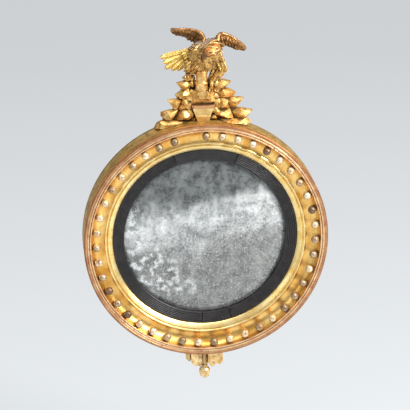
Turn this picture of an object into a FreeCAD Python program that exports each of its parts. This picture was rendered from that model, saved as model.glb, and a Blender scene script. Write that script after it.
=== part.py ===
"""Convex mirror in a round giltwood frame, with an eagle on rockwork above and a leaf apron below.

Millimetres. +Z is up and the glass faces -Y. The origin is the centre of the backboard's rear
face, which lies on the wall, so a distance out from the wall is a distance along -Y.
Angles on the ring are measured from +X towards +Z, as a viewer in front of the glass sees them.
"""
import FreeCAD, Part
import Sketcher
import math
import os

Vector = FreeCAD.Vector
document = FreeCAD.newDocument("convex_mirror")
sheet = document.addObject("Spreadsheet::Sheet", "Sizes")

# The driving dimensions: name, value and what it measures.
SIZES = {
    # widths across the ring, from the sight edge of the glass outwards
    "glass_sight": (188.0, "radius of glass that shows inside the black slip"),
    "slip_width": (27.0, "black reeded slip"),
    "fillet_width": (11.5, "sloping gilt band outside the slip"),
    "groove_width": (3.7, "groove outside the gilt band"),
    "bead_width": (4.3, "thin bead at the foot of the cove"),
    "cove_width": (32.3, "hollow that holds the balls"),
    "inner_reed": (4.6, "reed beside the cove"),
    "middle_reed": (5.6, "middle reed of the rim"),
    "outer_reed": (7.0, "outermost reed of the rim"),
    # depths of the ring
    "board_thickness": (9.0, "backboard"),
    "rear_layer": (38.0, "rear ring of felloes"),
    "front_layer": (34.0, "front ring of felloes, which carries the mouldings"),
    "reed_drop": (1.8, "reed valleys below the crests"),
    "reed_rise": (0.62, "crown of each reed above its own edges"),
    "cove_depth": (20.0, "crest of the rim to the foot of the cove"),
    "cove_hollow": (8.0, "greatest depth of the cove behind its own chord"),
    "bead_rise": (0.55, "crown of the thin bead"),
    "groove_depth": (2.4, "groove below the foot of the cove"),
    "band_fall": (7.5, "slope of the gilt band towards the glass"),
    "side_flat": (14.0, "plain side behind the crest of the rim"),
    "side_step": (2.2, "rear ring inside the rim's side"),
    "side_bead": (8.0, "bead round the side"),
    "side_bead_rise": (1.0, "crown of the bead round the side"),
    # slip and glass
    "tongue_width": (5.5, "slip's tongue behind the gilt band"),
    "tongue_front": (4.0, "wood between the tongue and the front ring's rear face"),
    "tongue_clearance": (0.4, "slip's tongue to the rebate round it"),
    "slip_slope": (1.9, "slip's face, outer edge in front of the inner edge"),
    "slip_edge": (9.4, "thickness of the slip at its sight edge"),
    "glass_thickness": (3.0, "domed glass"),
    "glass_cover": (18.0, "glass hidden behind the slip"),
    "dome_height": (30.0, "rise of the domed glass from its edge"),
    "glass_clearance": (0.3, "glass to the slip and to its blocks"),
    "block_length": (32.0, "pine block behind the glass, along the ring"),
    "block_depth": (15.0, "pine block behind the glass, front to back"),
    "block_count": (8.0, "pine blocks round the glass"),
    # joints of the felloes and the slip, in degrees
    "front_joint": (43.0, "front ring, joint at upper right"),
    "front_arc_top": (96.0, "top length of the front ring"),
    "front_arc_left": (90.5, "left length of the front ring"),
    "front_arc_bottom": (87.5, "bottom length of the front ring"),
    "slip_joint": (69.0, "slip, joint at upper right"),
    "slip_arc_top": (41.0, "top length of the slip"),
    "slip_arc_left": (158.0, "left length of the slip"),
    "slip_arc_bottom": (19.0, "short length at the bottom of the slip"),
    # balls in the cove
    "ball_diameter": (18.0, "turned ball"),
    "ball_circle": (254.5, "radius of the circle through the balls"),
    "ball_places": (43.0, "places for balls round the cove"),
    "ball_clearance": (0.05, "ball to the cove"),
    # backboard and its screws
    "board_overlap": (19.0, "backboard over the rear ring"),
    "plank_width": (160.0, "middle plank of the backboard"),
    "plank_gap": (0.3, "between two planks"),
    "nail_inset": (9.5, "nails inside the backboard's edge"),
    "nail_spread": (15.0, "nails each side of the ring's main axes, in degrees"),
    "nail_head": (6.5, "head of a cut nail, flush with the backboard"),
    "nail_shank": (3.0, "shank of a cut nail"),
    "nail_head_depth": (1.5, "head of a cut nail, thickness"),
    "nail_reach": (16.0, "nail's reach into the rear ring"),
    "fit_clearance": (0.05, "round a screw, dowel or pin in its hole"),
    # hanging plate and its ring
    "plate_width": (30.0, "hanging plate"),
    "plate_height": (24.0, "hanging plate below its knuckle"),
    "plate_thickness": (1.6, "hanging plate"),
    "plate_top": (12.0, "pin of the hanging ring below the top of the rear ring"),
    "knuckle_length": (15.0, "knuckle that the ring turns in"),
    "knuckle_wall": (1.6, "wall of the knuckle"),
    "wire_diameter": (3.6, "wire of the hanging ring"),
    "loop_width": (28.0, "hanging ring across its wire's centre line"),
    "loop_height": (22.0, "hanging ring from its pin to the centre line of its far bend"),
    "loop_corner": (4.0, "hanging ring's corners, radius of the wire's centre line"),
    "plate_screw_head": (6.0, "head of a hanging plate's screw, diameter"),
    "plate_screw_shank": (3.0, "shank of a hanging plate's screw, diameter"),
    "plate_screw_reach": (14.0, "hanging plate's screw into the rear ring"),
    "plate_screw_pitch": (18.0, "between the two screws of the hanging plate"),
    # cresting: backing board and the tiers of rockwork in front of it
    "crest_rear": (12.0, "rear face of the cresting, out from the wall"),
    "crest_board": (20.0, "backing board of the cresting"),
    "rock_root": (8.0, "straight root of each rock in front of the backing board"),
    "rock_facet": (13.0, "faceted front of each rock in front of its root"),
    "seat_clearance": (0.1, "cresting and apron to the ring that they sit on"),
    "dowel_diameter": (10.0, "dowel between the ring and the cresting or apron"),
    "crest_dowel_pitch": (64.0, "between the two dowels of the cresting"),
    "apron_dowel_pitch": (34.0, "between the two dowels of the apron"),
    "dowel_grip": (16.0, "dowel's length in each of the pieces that it joins"),
    "tier_0": (2.0, "lowest rocks, top above the ring's top"),
    "tier_1": (25.0, "first tier of rocks, height"),
    "tier_2": (26.0, "second tier of rocks, height"),
    "tier_3": (22.0, "third tier of rocks, height"),
    "tier_4": (22.0, "fourth tier of rocks, height"),
    "tier_5": (13.0, "rock under the eagle's foot on the left, height"),
    "left_reach_0": (127.0, "lowest rock on the left, reach from the middle"),
    "left_reach_1": (108.0, "first tier on the left"),
    "left_reach_2": (86.0, "second tier on the left"),
    "left_reach_3": (69.0, "third tier on the left"),
    "left_reach_4": (65.0, "fourth tier on the left"),
    "left_reach_5": (52.0, "rock under the foot on the left"),
    "right_reach_0": (121.0, "lowest rock on the right, reach from the middle"),
    "right_reach_1": (112.0, "first tier on the right"),
    "right_reach_2": (92.0, "second tier on the right"),
    "right_reach_3": (75.0, "third tier on the right"),
    "right_reach_4": (62.0, "fourth tier on the right"),
    "core_left": (31.0, "middle stones, reach to the left"),
    "core_right": (24.0, "middle stones, reach to the right"),
    "keystone_height": (39.0, "banded keystone above the ring's top"),
    "keystone_foot": (27.0, "banded keystone, width at its foot"),
    "band_step": (3.0, "each band of the keystone in front of the next"),
    "stump_width": (29.0, "round stump below the eagle"),
    "stump_height": (48.0, "round stump below the eagle"),
    # eagle
    "torso_height": (78.0, "eagle's body from the perch to the nape"),
    "torso_width": (82.0, "eagle's body across the breast"),
    "torso_depth": (46.0, "eagle's body, breast to back"),
    "torso_lean": (17.0, "nape to the right of the perch"),
    "head_width": (32.0, "eagle's bent neck"),
    "head_reach": (22.0, "eagle's head in front of the breast"),
    "head_turn": (32.0, "eagle's beak to the left of its neck"),
    "beak_length": (13.0, "eagle's beak"),
    "wing_thickness": (6.0, "flight feathers of the wing"),
    "covert_thickness": (5.0, "short feathers in front of the flight feathers"),
    "left_wing_span": (77.0, "wing on the left, from its root in the body to its tip"),
    "right_wing_span": (70.0, "wing on the right, from its root in the body to its tip"),
    "wing_chord": (27.0, "wing's width beside the body"),
    "tail_length": (83.0, "eagle's longest tail feather, from its root in the body"),
    "feather_width": (13.0, "a tail feather at its round end"),
    "feather_thickness": (5.0, "a tail feather"),
    "thigh_width": (29.0, "eagle's feathered thigh"),
    "claw_length": (19.0, "eagle's claws in front of its foot"),
    # apron
    "apron_stand": (26.0, "rear face of the apron, out from the wall"),
    "apron_thickness": (30.0, "apron, front to back"),
    "apron_drop": (46.0, "longest leaves below the ring"),
    "leaf_width": (19.0, "a large leaf of the apron"),
    "bud_length": (31.0, "bud below the leaves"),
    "bud_width": (27.0, "bud below the leaves"),
}


class Size:
    """A number together with the expression that works it out from the sheet."""

    def __init__(self, text, value):
        self.text = text
        self.value = value

    @staticmethod
    def of(other):
        if isinstance(other, Size):
            return other
        return Size(repr(float(other)), float(other))

    def join(self, sign, other, value):
        return Size(f"({self.text} {sign} {other.text})", value)

    def __add__(self, other):
        other = Size.of(other)
        return self.join("+", other, self.value + other.value)

    def __sub__(self, other):
        other = Size.of(other)
        return self.join("-", other, self.value - other.value)

    def __mul__(self, other):
        other = Size.of(other)
        return self.join("*", other, self.value * other.value)

    def __truediv__(self, other):
        other = Size.of(other)
        return self.join("/", other, self.value / other.value)

    def __radd__(self, other):
        return Size.of(other) + self

    def __rsub__(self, other):
        return Size.of(other) - self

    def __rmul__(self, other):
        return Size.of(other) * self

    def __rtruediv__(self, other):
        return Size.of(other) / self

    def __neg__(self):
        return Size(f"(-1 * {self.text})", -self.value)


def root(size):
    """The square root of a size."""
    return Size(f"sqrt({size.text})", math.sqrt(size.value))


def cosine(angle):
    """The cosine of a size in degrees."""
    angle = Size.of(angle)
    return Size(f"cos({angle.text})", math.cos(math.radians(angle.value)))


def sine(angle):
    """The sine of a size in degrees."""
    angle = Size.of(angle)
    return Size(f"sin({angle.text})", math.sin(math.radians(angle.value)))


class Sheet:
    """The sheet's cells as attributes: each is a Size."""

    def __init__(self):
        self.row = 0

    def add(self, name, text, value, meaning):
        """Write one cell with its alias, and return it as a Size."""
        self.row += 1
        sheet.set(f"A{self.row}", name)
        sheet.set(f"B{self.row}", text)
        sheet.set(f"C{self.row}", meaning)
        sheet.setAlias(f"B{self.row}", name)
        size = Size(f"Sizes.{name}", value)
        setattr(self, name, size)
        return size

    def derive(self, name, size, meaning):
        """Add a cell that the sheet works out from its other cells."""
        return self.add(name, "=" + size.text.replace("Sizes.", ""), size.value, meaning)


cell = Sheet()
for size_name, (number, meaning) in SIZES.items():
    cell.add(size_name, str(number), number, meaning)

# Radii that follow from the widths, and distances out from the wall that follow from the depths.
slip_radius = cell.derive("slip_radius", cell.glass_sight + cell.slip_width, "slip's outer edge")
band_radius = cell.derive("band_radius", slip_radius + cell.fillet_width, "gilt band's outer edge")
groove_radius = cell.derive("groove_radius", band_radius + cell.groove_width, "groove's outer edge")
bead_radius = cell.derive("bead_radius", groove_radius + cell.bead_width, "bead's outer edge")
cove_radius = cell.derive("cove_radius", bead_radius + cell.cove_width, "cove's outer edge")
reed_radius_1 = cell.derive("reed_radius_1", cove_radius + cell.inner_reed, "inner reed's edge")
reed_radius_2 = cell.derive("reed_radius_2", reed_radius_1 + cell.middle_reed, "middle reed's edge")
rim_radius = cell.derive("rim_radius", reed_radius_2 + cell.outer_reed, "outside of the rim")
ring_radius = cell.derive("ring_radius", rim_radius - cell.side_step, "outside of the rear ring")
tongue_radius = cell.derive("tongue_radius", slip_radius + cell.tongue_width, "slip's tongue")
rebate_radius = cell.derive(
    "rebate_radius", tongue_radius + cell.tongue_clearance, "rebate and bore of the rear ring"
)
joint_stand = cell.derive("joint_stand", cell.board_thickness + cell.rear_layer, "between the rings")
crest_stand = cell.derive("crest_stand", joint_stand + cell.front_layer, "crest of the rim")
cove_foot = cell.derive("cove_foot", crest_stand - cell.cove_depth, "foot of the cove")


def new_body(name):
    """An empty body; its label names the file that holds it."""
    body = document.addObject("PartDesign::Body", name)
    body.Label = name
    body.AllowCompound = True
    return body


def origin_feature(body, role):
    """A plane or axis of the body's own origin."""
    return [feature for feature in body.Origin.OriginFeatures if feature.Role == role][0]


def bind(target, path, size):
    """Tie one property of an object to the sheet."""
    target.setExpression(path, Size.of(size).text)


def place(target, x=0, y=0, z=0, axis=None, angle=0):
    """Put a sub-part in its place; its position and turn follow the sheet."""
    if axis is not None:
        turn = FreeCAD.Rotation(axis, Size.of(angle).value)
        target.Placement = FreeCAD.Placement(Vector(), turn)
        bind(target, "Placement.Rotation.Angle", angle)
    for path, size in (("x", x), ("y", y), ("z", z)):
        bind(target, f"Placement.Base.{path}", size)


def pin_point(sketch, geometry, which, x, y):
    """Tie one point of a sketch to its distances from the sketch's origin."""
    for kind, size in (("DistanceX", x), ("DistanceY", y)):
        constraint = Sketcher.Constraint(kind, -1, 1, geometry, which, size.value)
        number = sketch.addConstraint(constraint)
        bind(sketch, f"Constraints[{number}]", size)


def bulge(start, end, rise):
    """The middle of an arc that stands out by rise, to the right of the way from start to end."""
    across = end[0] - start[0]
    along = end[1] - start[1]
    chord = root(across * across + along * along)
    middle_x = (start[0] + end[0]) / 2 + rise * along / chord
    middle_y = (start[1] + end[1]) / 2 - rise * across / chord
    return middle_x, middle_y


def draw(body, role, corners, offset=0, name="outline"):
    """A closed outline on one of the body's origin planes, moved along the plane's normal.

    A corner is (x, y), or (x, y, rise) where an arc leads to it from the corner before.
    """
    sketch = body.newObject("Sketcher::SketchObject", f"{body.Name}_{name}")
    sketch.AttachmentSupport = [(origin_feature(body, role), "")]
    sketch.MapMode = "FlatFace"
    bind(sketch, "AttachmentOffset.Base.z", offset)
    points = [(Size.of(corner[0]), Size.of(corner[1])) for corner in corners]
    ends = []
    for number, corner in enumerate(corners):
        start, end = points[number - 1], points[number]
        start_vector = Vector(start[0].value, start[1].value, 0)
        end_vector = Vector(end[0].value, end[1].value, 0)
        if len(corner) == 2:
            edge = Part.LineSegment(start_vector, end_vector)
        else:
            via = bulge(start, end, Size.of(corner[2]))
            via_vector = Vector(via[0].value, via[1].value, 0)
            edge = Part.Arc(start_vector, via_vector, end_vector)
        geometry = sketch.addGeometry(edge)
        forward = sketch.getPoint(geometry, 1).distanceToPoint(start_vector) < 1e-6
        ends.append((geometry, 1 if forward else 2, 2 if forward else 1))
        if len(corner) == 3:
            middle = sketch.addGeometry(Part.Point(via_vector), True)
            sketch.addConstraint(Sketcher.Constraint("PointOnObject", middle, 1, geometry))
            pin_point(sketch, middle, 1, *via)
    for number, (geometry, first, last) in enumerate(ends):
        before = ends[number - 1]
        joined = Sketcher.Constraint("Coincident", before[0], before[2], geometry, first)
        sketch.addConstraint(joined)
        pin_point(sketch, geometry, last, *points[number])
    return sketch


def circle(body, role, x, y, radius, offset=0, name="circle"):
    """A circle on one of the body's origin planes."""
    x, y, radius = Size.of(x), Size.of(y), Size.of(radius)
    sketch = body.newObject("Sketcher::SketchObject", f"{body.Name}_{name}")
    sketch.AttachmentSupport = [(origin_feature(body, role), "")]
    sketch.MapMode = "FlatFace"
    bind(sketch, "AttachmentOffset.Base.z", offset)
    centre = Vector(x.value, y.value, 0)
    geometry = sketch.addGeometry(Part.Circle(centre, Vector(0, 0, 1), radius.value))
    pin_point(sketch, geometry, 3, x, y)
    number = sketch.addConstraint(Sketcher.Constraint("Radius", geometry, radius.value))
    bind(sketch, f"Constraints[{number}]", radius)
    return sketch


def feature(body, kind, sketch, name, **options):
    """A PartDesign feature on a sketch; options are its properties, sizes bound to the sheet."""
    made = body.newObject(f"PartDesign::{kind}", f"{body.Name}_{name}")
    made.Profile = sketch
    for key, value in options.items():
        if isinstance(value, Size):
            bind(made, key, value)
        else:
            setattr(made, key, value)
    sketch.Visibility = False
    return made


def pad(body, sketch, length, name="pad", **options):
    """Material along the sketch's normal."""
    return feature(body, "Pad", sketch, name, Length=Size.of(length), **options)


def pocket(body, sketch, length, name="pocket", **options):
    """A cut along the sketch's normal, both ways."""
    return feature(body, "Pocket", sketch, name, Length=Size.of(length), **options)


def revolve(body, sketch, angle=360, name="turn", **options):
    """Material turned about the sketch's vertical axis, from +X towards +Z."""
    options.setdefault("ReferenceAxis", (sketch, ["V_Axis"]))
    options.setdefault("Reversed", True)
    return feature(body, "Revolution", sketch, name, Angle=Size.of(angle), **options)


def polar(body, feature_to_repeat, axis, angle, count, name="round"):
    """Copies of a feature about an axis of the body's origin."""
    pattern = body.newObject("PartDesign::PolarPattern", f"{body.Name}_{name}")
    pattern.Originals = [feature_to_repeat]
    pattern.Axis = (origin_feature(body, axis), [""])
    bind(pattern, "Angle", angle)
    bind(pattern, "Occurrences", count)
    body.Tip = pattern
    return pattern


VIEWED_TURN = Vector(0, -1, 0)  # turns from +X towards +Z
SYMMETRIC = {"SideType": "Symmetric"}

nodes = []


def keep(made, name=None):
    """Count a finished object among the sub-parts that are written out."""
    if name is not None:
        made.Label = name
    nodes.append(made)
    return made


def arcsine(size):
    """The angle, in degrees, that has this sine."""
    return Size(f"asin({size.text})", math.degrees(math.asin(size.value)))


def round_of(start, end, rise):
    """Radius and centre of the arc from start to end that stands out by rise."""
    across = end[0] - start[0]
    along = end[1] - start[1]
    chord = root(across * across + along * along)
    radius = (chord * chord / 4 + rise * rise) / (2 * rise)
    centre_x = (start[0] + end[0]) / 2 + (rise - radius) * along / chord
    centre_y = (start[1] + end[1]) / 2 - (rise - radius) * across / chord
    return radius, centre_x, centre_y, chord


def flats(start, end, rise, count):
    """Corners on the arc from start to end, as equal flats, so that a great ring stays light."""
    radius, centre_x, centre_y, chord = round_of(start, end, rise)
    step = arcsine(chord / (2 * radius)) * 2 / count
    corners = []
    for number in range(1, count):
        turn = step * number
        reach_x, reach_y = start[0] - centre_x, start[1] - centre_y
        x = centre_x + reach_x * cosine(turn) - reach_y * sine(turn)
        y = centre_y + reach_x * sine(turn) + reach_y * cosine(turn)
        corners.append((x, y))
    return corners + [end]


def ring_of(radius_x, radius_y, sides, place_corner, first_turn=0):
    """Corners of a many-sided ring, the first at first_turn degrees.

    place_corner makes a point of the two distances from the ring's middle.
    """
    corners = []
    for number in range(sides):
        angle = math.radians(first_turn) + 2 * math.pi * number / sides
        corners.append(place_corner(radius_x * math.cos(angle), radius_y * math.sin(angle)))
    return corners


def carved(name, rings):
    """A solid with flat facets through rings of points that have as many corners each."""
    faces = [Part.Face(Part.makePolygon([*ends, ends[0]])) for ends in (rings[0], rings[-1])]
    for low, high in zip(rings, rings[1:]):
        for number in range(len(low)):
            before = number - 1
            quad = [low[before], low[number], high[number], high[before]]
            across = (quad[1] - quad[0]).cross(quad[2] - quad[0])
            off_plane = abs(across.dot(quad[3] - quad[0])) / max(across.Length, 1e-9)
            pieces = [quad] if off_plane < 1e-6 else [quad[:3], [quad[0], quad[2], quad[3]]]
            faces += [Part.Face(Part.makePolygon([*piece, piece[0]])) for piece in pieces]
    solid = Part.Solid(Part.Shell(faces))
    if solid.Volume < 0:
        solid.reverse()
    made = document.addObject("Part::Feature", name)
    made.Shape = solid
    made.Label = name
    return made


def sagitta(radius, start, end):
    """How far an arc of this radius stands out from the chord between two corners."""
    across = end[0] - start[0]
    along = end[1] - start[1]
    return radius - root(radius * radius - (across * across + along * along) / 4)


def height_on(radius, x):
    """Height above the middle of a circle, at a distance to the side."""
    x = Size.of(x)
    return root(radius * radius - x * x)


# ---------------------------------------------------------------- rings of felloes

# flats round each curve of a section
REED_FLAT_COUNT = 2
BEAD_FLAT_COUNT = 2
COVE_FLAT_COUNT = 5
DOME_FLAT_COUNT = 4
DOME_BACK_FLAT_COUNT = 2

rim_valley = cell.derive("rim_valley", cell.reed_drop - crest_stand, "reed valleys, along Y")
cove_start = (cove_radius, rim_valley)
cove_end = (bead_radius, -cove_foot)
cove_round = round_of(cove_end, cove_start, -cell.cove_hollow)
cove_curve = cell.derive("cove_curve", -cove_round[0], "radius of the cove's hollow")
cove_middle = cell.derive("cove_middle", cove_round[1], "radius at which the hollow is centred")
cove_front = cell.derive("cove_front", cove_round[2], "centre of the hollow, along Y")


def front_section():
    """Section of the front ring: gilt band, groove, bead, cove, three reeds, side and rebate."""
    foot = -cove_foot
    band_edge = foot + cell.band_fall
    rebate_floor = -(joint_stand + cell.tongue_front)
    groove_middle = band_radius + cell.groove_width / 2
    side_front = cell.side_flat - crest_stand
    side_back = side_front + cell.side_bead
    bead_root = ring_radius - cell.side_bead_rise
    corners = [(slip_radius, rebate_floor), (slip_radius, band_edge), (band_radius, foot)]
    corners += [(groove_middle, foot + cell.groove_depth), (groove_radius, foot)]
    corners += flats((groove_radius, foot), cove_end, cell.bead_rise, BEAD_FLAT_COUNT)
    corners += flats(cove_end, cove_start, -cell.cove_hollow, COVE_FLAT_COUNT)
    reed_edges = [cove_radius, reed_radius_1, reed_radius_2, rim_radius]
    for inner, outer in zip(reed_edges, reed_edges[1:]):
        corners += flats((inner, rim_valley), (outer, rim_valley), cell.reed_rise, REED_FLAT_COUNT)
    corners += [(rim_radius, side_front), (bead_root, side_front)]
    corners += flats((bead_root, side_front), (bead_root, side_back), cell.side_bead_rise, BEAD_FLAT_COUNT)
    corners += [(ring_radius, side_back), (ring_radius, -joint_stand)]
    corners += [(rebate_radius, -joint_stand), (rebate_radius, rebate_floor)]
    return corners


def moulding(name, corners, start, end):
    """A length of ring: a section of (radius, y) corners turned from one joint to the next."""
    body = new_body(name)
    section = draw(body, "XY_Plane", corners, name="section")
    revolve(body, section, angle=end - start)
    place(body, axis=VIEWED_TURN, angle=start)
    return body


def mouldings(name, section, first_joint, arcs):
    """A closed ring in lengths, from the first joint round; the last length takes what is left."""
    start = first_joint
    for side, arc in zip(("top", "left", "bottom", "right"), arcs + [None]):
        end = first_joint + 360 if arc is None else start + arc
        keep(moulding(f"{name}_{side}", section, start, end))
        start = end


front_arcs = [cell.front_arc_top, cell.front_arc_left, cell.front_arc_bottom]
mouldings("front_felloe", front_section(), cell.front_joint, front_arcs)


# ---------------------------------------------------------------- backboard, nails, screws and dowels

TURN_TO_FRONT = (Vector(1, 0, 0), 90)  # a rod's length runs towards the viewer
TURN_TO_RIGHT = (Vector(0, 1, 0), 90)  # a rod's length runs along +X


def rod(name, x, y, z, length, width, far_width=None, turn=None):
    """A round rod, or a cone where far_width is given, standing on its first end's middle."""
    if far_width is None:
        made = document.addObject("Part::Cylinder", name)
        bind(made, "Radius", width / 2)
    else:
        made = document.addObject("Part::Cone", name)
        bind(made, "Radius1", width / 2)
        bind(made, "Radius2", far_width / 2)
    bind(made, "Height", length)
    if turn is not None:
        made.Placement = FreeCAD.Placement(Vector(), FreeCAD.Rotation(*turn))
    place(made, x, y, z)
    return made


def fuse(name, pieces):
    """Several shapes as one sub-part."""
    made = document.addObject("Part::MultiFuse", name)
    made.Shapes = pieces
    made.Label = name
    return made


def cut(name, base, tool):
    """A shape with another taken out of it."""
    made = document.addObject("Part::Cut", name)
    made.Base = base
    made.Tool = tool
    made.Label = name
    return made


def screw_set(name, places, front, head, shank, reach, clearance=0):
    """Countersunk screws driven towards the viewer; each place is (x, z)."""
    pieces = []
    for number, (x, z) in enumerate(places):
        slope = (head - shank) / 2
        wide, narrow = head + 2 * clearance, shank + 2 * clearance
        pieces.append(rod(f"{name}_head_{number}", x, front, z, slope, wide, narrow, TURN_TO_FRONT))
        length = reach + clearance
        pieces.append(rod(f"{name}_shank_{number}", x, front, z, length, narrow, None, TURN_TO_FRONT))
    return fuse(name, pieces)


def nail_set(name, places, clearance=0):
    """Cut nails driven towards the viewer, their heads flush with the wall side."""
    pieces = []
    sizes = (
        ("head", cell.nail_head, cell.nail_head_depth),
        ("shank", cell.nail_shank, cell.board_thickness + cell.nail_reach),
    )
    for number, (x, z) in enumerate(places):
        for kind, width, length in sizes:
            side = width + 2 * clearance
            made = document.addObject("Part::Box", f"{name}_{kind}_{number}")
            bind(made, "Length", side)
            bind(made, "Width", length + clearance)
            bind(made, "Height", side)
            place(made, x - side / 2, -(length + clearance), z - side / 2)
            pieces.append(made)
    return fuse(name, pieces)


board_radius = cell.derive("board_radius", rebate_radius + cell.board_overlap, "backboard")
nail_circle = board_radius - cell.nail_inset
nail_places = []
for quarter in range(4):
    for side in (-1, 1):
        angle = quarter * 90 + side * cell.nail_spread
        nail_places.append((nail_circle * cosine(angle), nail_circle * sine(angle)))
keep(nail_set("backboard_nails", nail_places))
board_sockets = nail_set("board_sockets", nail_places, cell.fit_clearance)

pin_height = cell.derive("pin_height", ring_radius - cell.plate_top, "pin of the hanging ring")
plate_screw_height = pin_height - cell.plate_height / 2
plate_screw_places = [
    (-cell.plate_screw_pitch / 2, plate_screw_height),
    (cell.plate_screw_pitch / 2, plate_screw_height),
]
plate_back = cell.derive("plate_back", cell.plate_thickness - cell.board_thickness, "along Y")
plate_screw = (cell.plate_screw_head, cell.plate_screw_shank)
plate_screw += (cell.plate_thickness + cell.plate_screw_reach,)
keep(screw_set("hanging_plate_screws", plate_screw_places, plate_back, *plate_screw))
plate_sockets = screw_set(
    "plate_sockets", plate_screw_places, plate_back, *plate_screw, cell.fit_clearance
)

seat_radius = cell.derive("seat_radius", ring_radius + cell.seat_clearance, "carvings' seat")
crest_dowel_y = -(cell.crest_rear + cell.crest_board / 2)
apron_dowel_y = -(joint_stand - cell.dowel_diameter * 0.8)


def dowel_set(name, pitch, y, side, clearance=0):
    """Two upright dowels through the ring's edge, above (side 1) or below (side -1) its middle."""
    pieces = []
    edge = height_on(ring_radius, pitch / 2)
    for number, x in enumerate((-pitch / 2, pitch / 2)):
        low = side * edge - cell.dowel_grip - clearance
        length = 2 * (cell.dowel_grip + clearance)
        width = cell.dowel_diameter + 2 * clearance
        pieces.append(rod(f"{name}_{number}", x, y, low, length, width))
    return fuse(name, pieces)


keep(dowel_set("crest_dowels", cell.crest_dowel_pitch, crest_dowel_y, 1))
keep(dowel_set("apron_dowels", cell.apron_dowel_pitch, apron_dowel_y, -1))
crest_sockets = dowel_set(
    "crest_sockets", cell.crest_dowel_pitch, crest_dowel_y, 1, cell.fit_clearance
)
apron_sockets = dowel_set(
    "apron_sockets", cell.apron_dowel_pitch, apron_dowel_y, -1, cell.fit_clearance
)
ring_sockets = fuse("ring_sockets", [board_sockets, plate_sockets, crest_sockets, apron_sockets])

rear_section = [
    (rebate_radius, -joint_stand),
    (ring_radius, -joint_stand),
    (ring_radius, -cell.board_thickness),
    (rebate_radius, -cell.board_thickness),
]
REAR_NAMES = ("upper_right", "upper_left", "lower_left", "lower_right")
for number, side in enumerate(REAR_NAMES):
    start, end = Size.of(90 * number), Size.of(90 * number + 90)
    blank = moulding(f"rear_{side}_blank", rear_section, start, end)
    keep(cut(f"rear_felloe_{side}", blank, ring_sockets))


def plank(name, corners):
    """A plank of the backboard from its outline, with its nail holes."""
    body = new_body(f"{name}_blank")
    pad(body, draw(body, "XZ_Plane", corners), cell.board_thickness)
    return keep(cut(name, body, board_sockets))


half_plank = cell.plank_width / 2
plank_end = height_on(board_radius, half_plank)
plank("backboard_middle", [
    (-half_plank, -plank_end),
    (half_plank, -plank_end, board_radius - plank_end),
    (half_plank, plank_end),
    (-half_plank, plank_end, board_radius - plank_end),
])
side_plank = half_plank + cell.plank_gap
side_end = height_on(board_radius, side_plank)
side_rise = board_radius - side_plank
plank("backboard_right", [(side_plank, -side_end), (side_plank, side_end, side_rise)])
plank("backboard_left", [(-side_plank, side_end), (-side_plank, -side_end, side_rise)])


# ---------------------------------------------------------------- hanging plate and ring

knuckle_radius = cell.wire_diameter / 2 + cell.fit_clearance + cell.knuckle_wall
pin_gap = 0.35  # knuckle to the rear ring behind it
pin_y = cell.derive("pin_y", knuckle_radius + pin_gap - cell.board_thickness, "pin, along Y")

plate = new_body("hanging_plate_blank")
half_plate = cell.plate_width / 2
half_knuckle = cell.knuckle_length / 2
plate_foot = pin_height - cell.plate_height
shoulder = pin_height - 2 * knuckle_radius
foot_round = half_plate / 3
plate_outline = draw(plate, "XZ_Plane", [
    (-half_plate, plate_foot + foot_round),
    (half_plate, plate_foot + foot_round, foot_round),
    (half_plate, shoulder),
    (half_knuckle, shoulder),
    (half_knuckle, pin_height),
    (-half_knuckle, pin_height),
    (-half_knuckle, shoulder),
    (-half_plate, shoulder),
], offset=-plate_back)
pad(plate, plate_outline, cell.plate_thickness)
barrel = circle(plate, "YZ_Plane", pin_y, pin_height, knuckle_radius, name="barrel")
pad(plate, barrel, cell.knuckle_length, name="knuckle", **SYMMETRIC)
bore_radius = cell.wire_diameter / 2 + cell.fit_clearance
bore = circle(plate, "YZ_Plane", pin_y, pin_height, bore_radius, name="bore")
pocket(plate, bore, cell.knuckle_length * 2, name="bored", **SYMMETRIC)
keep(cut("hanging_plate", plate, plate_sockets))

half_loop = cell.loop_width / 2
leg_length = cell.loop_height - half_loop
wire = cell.wire_diameter
corner = cell.loop_corner
half_pin = half_loop - corner
# each bend of the wire: centre (x, z), radius, first and last direction in degrees, and steps
BENDS = [
    (half_pin, pin_height - corner, corner, 90, 0, 2),
    (Size.of(0), pin_height - leg_length, half_loop, 0, -180, 10),
    (-half_pin, pin_height - corner, corner, 180, 90, 2),
]
WIRE_SIDES = 8


def wire_ring(centre_x, centre_z, radius, direction):
    """Corners of the wire's section, at a direction from the centre of its bend."""
    across, up = math.cos(math.radians(direction)), math.sin(math.radians(direction))

    def corner_at(outward, along):
        reach = radius.value + outward
        return Vector(centre_x.value + reach * across, pin_y.value + along, centre_z.value + reach * up)

    return ring_of(wire.value / 2, wire.value / 2, WIRE_SIDES, corner_at, 180 / WIRE_SIDES)


wire_rings = []
for centre_x, centre_z, radius, first, last, steps in BENDS:
    for step in range(steps + 1):
        direction = first + (last - first) * step / steps
        wire_rings.append(wire_ring(centre_x, centre_z, radius, direction))
pin = rod("loop_pin", -half_pin, pin_y, pin_height, 2 * half_pin, wire, None, TURN_TO_RIGHT)
keep(fuse("hanging_ring", [pin, carved("loop_wire", wire_rings)]))


# ---------------------------------------------------------------- slip, glass and blocks

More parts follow.
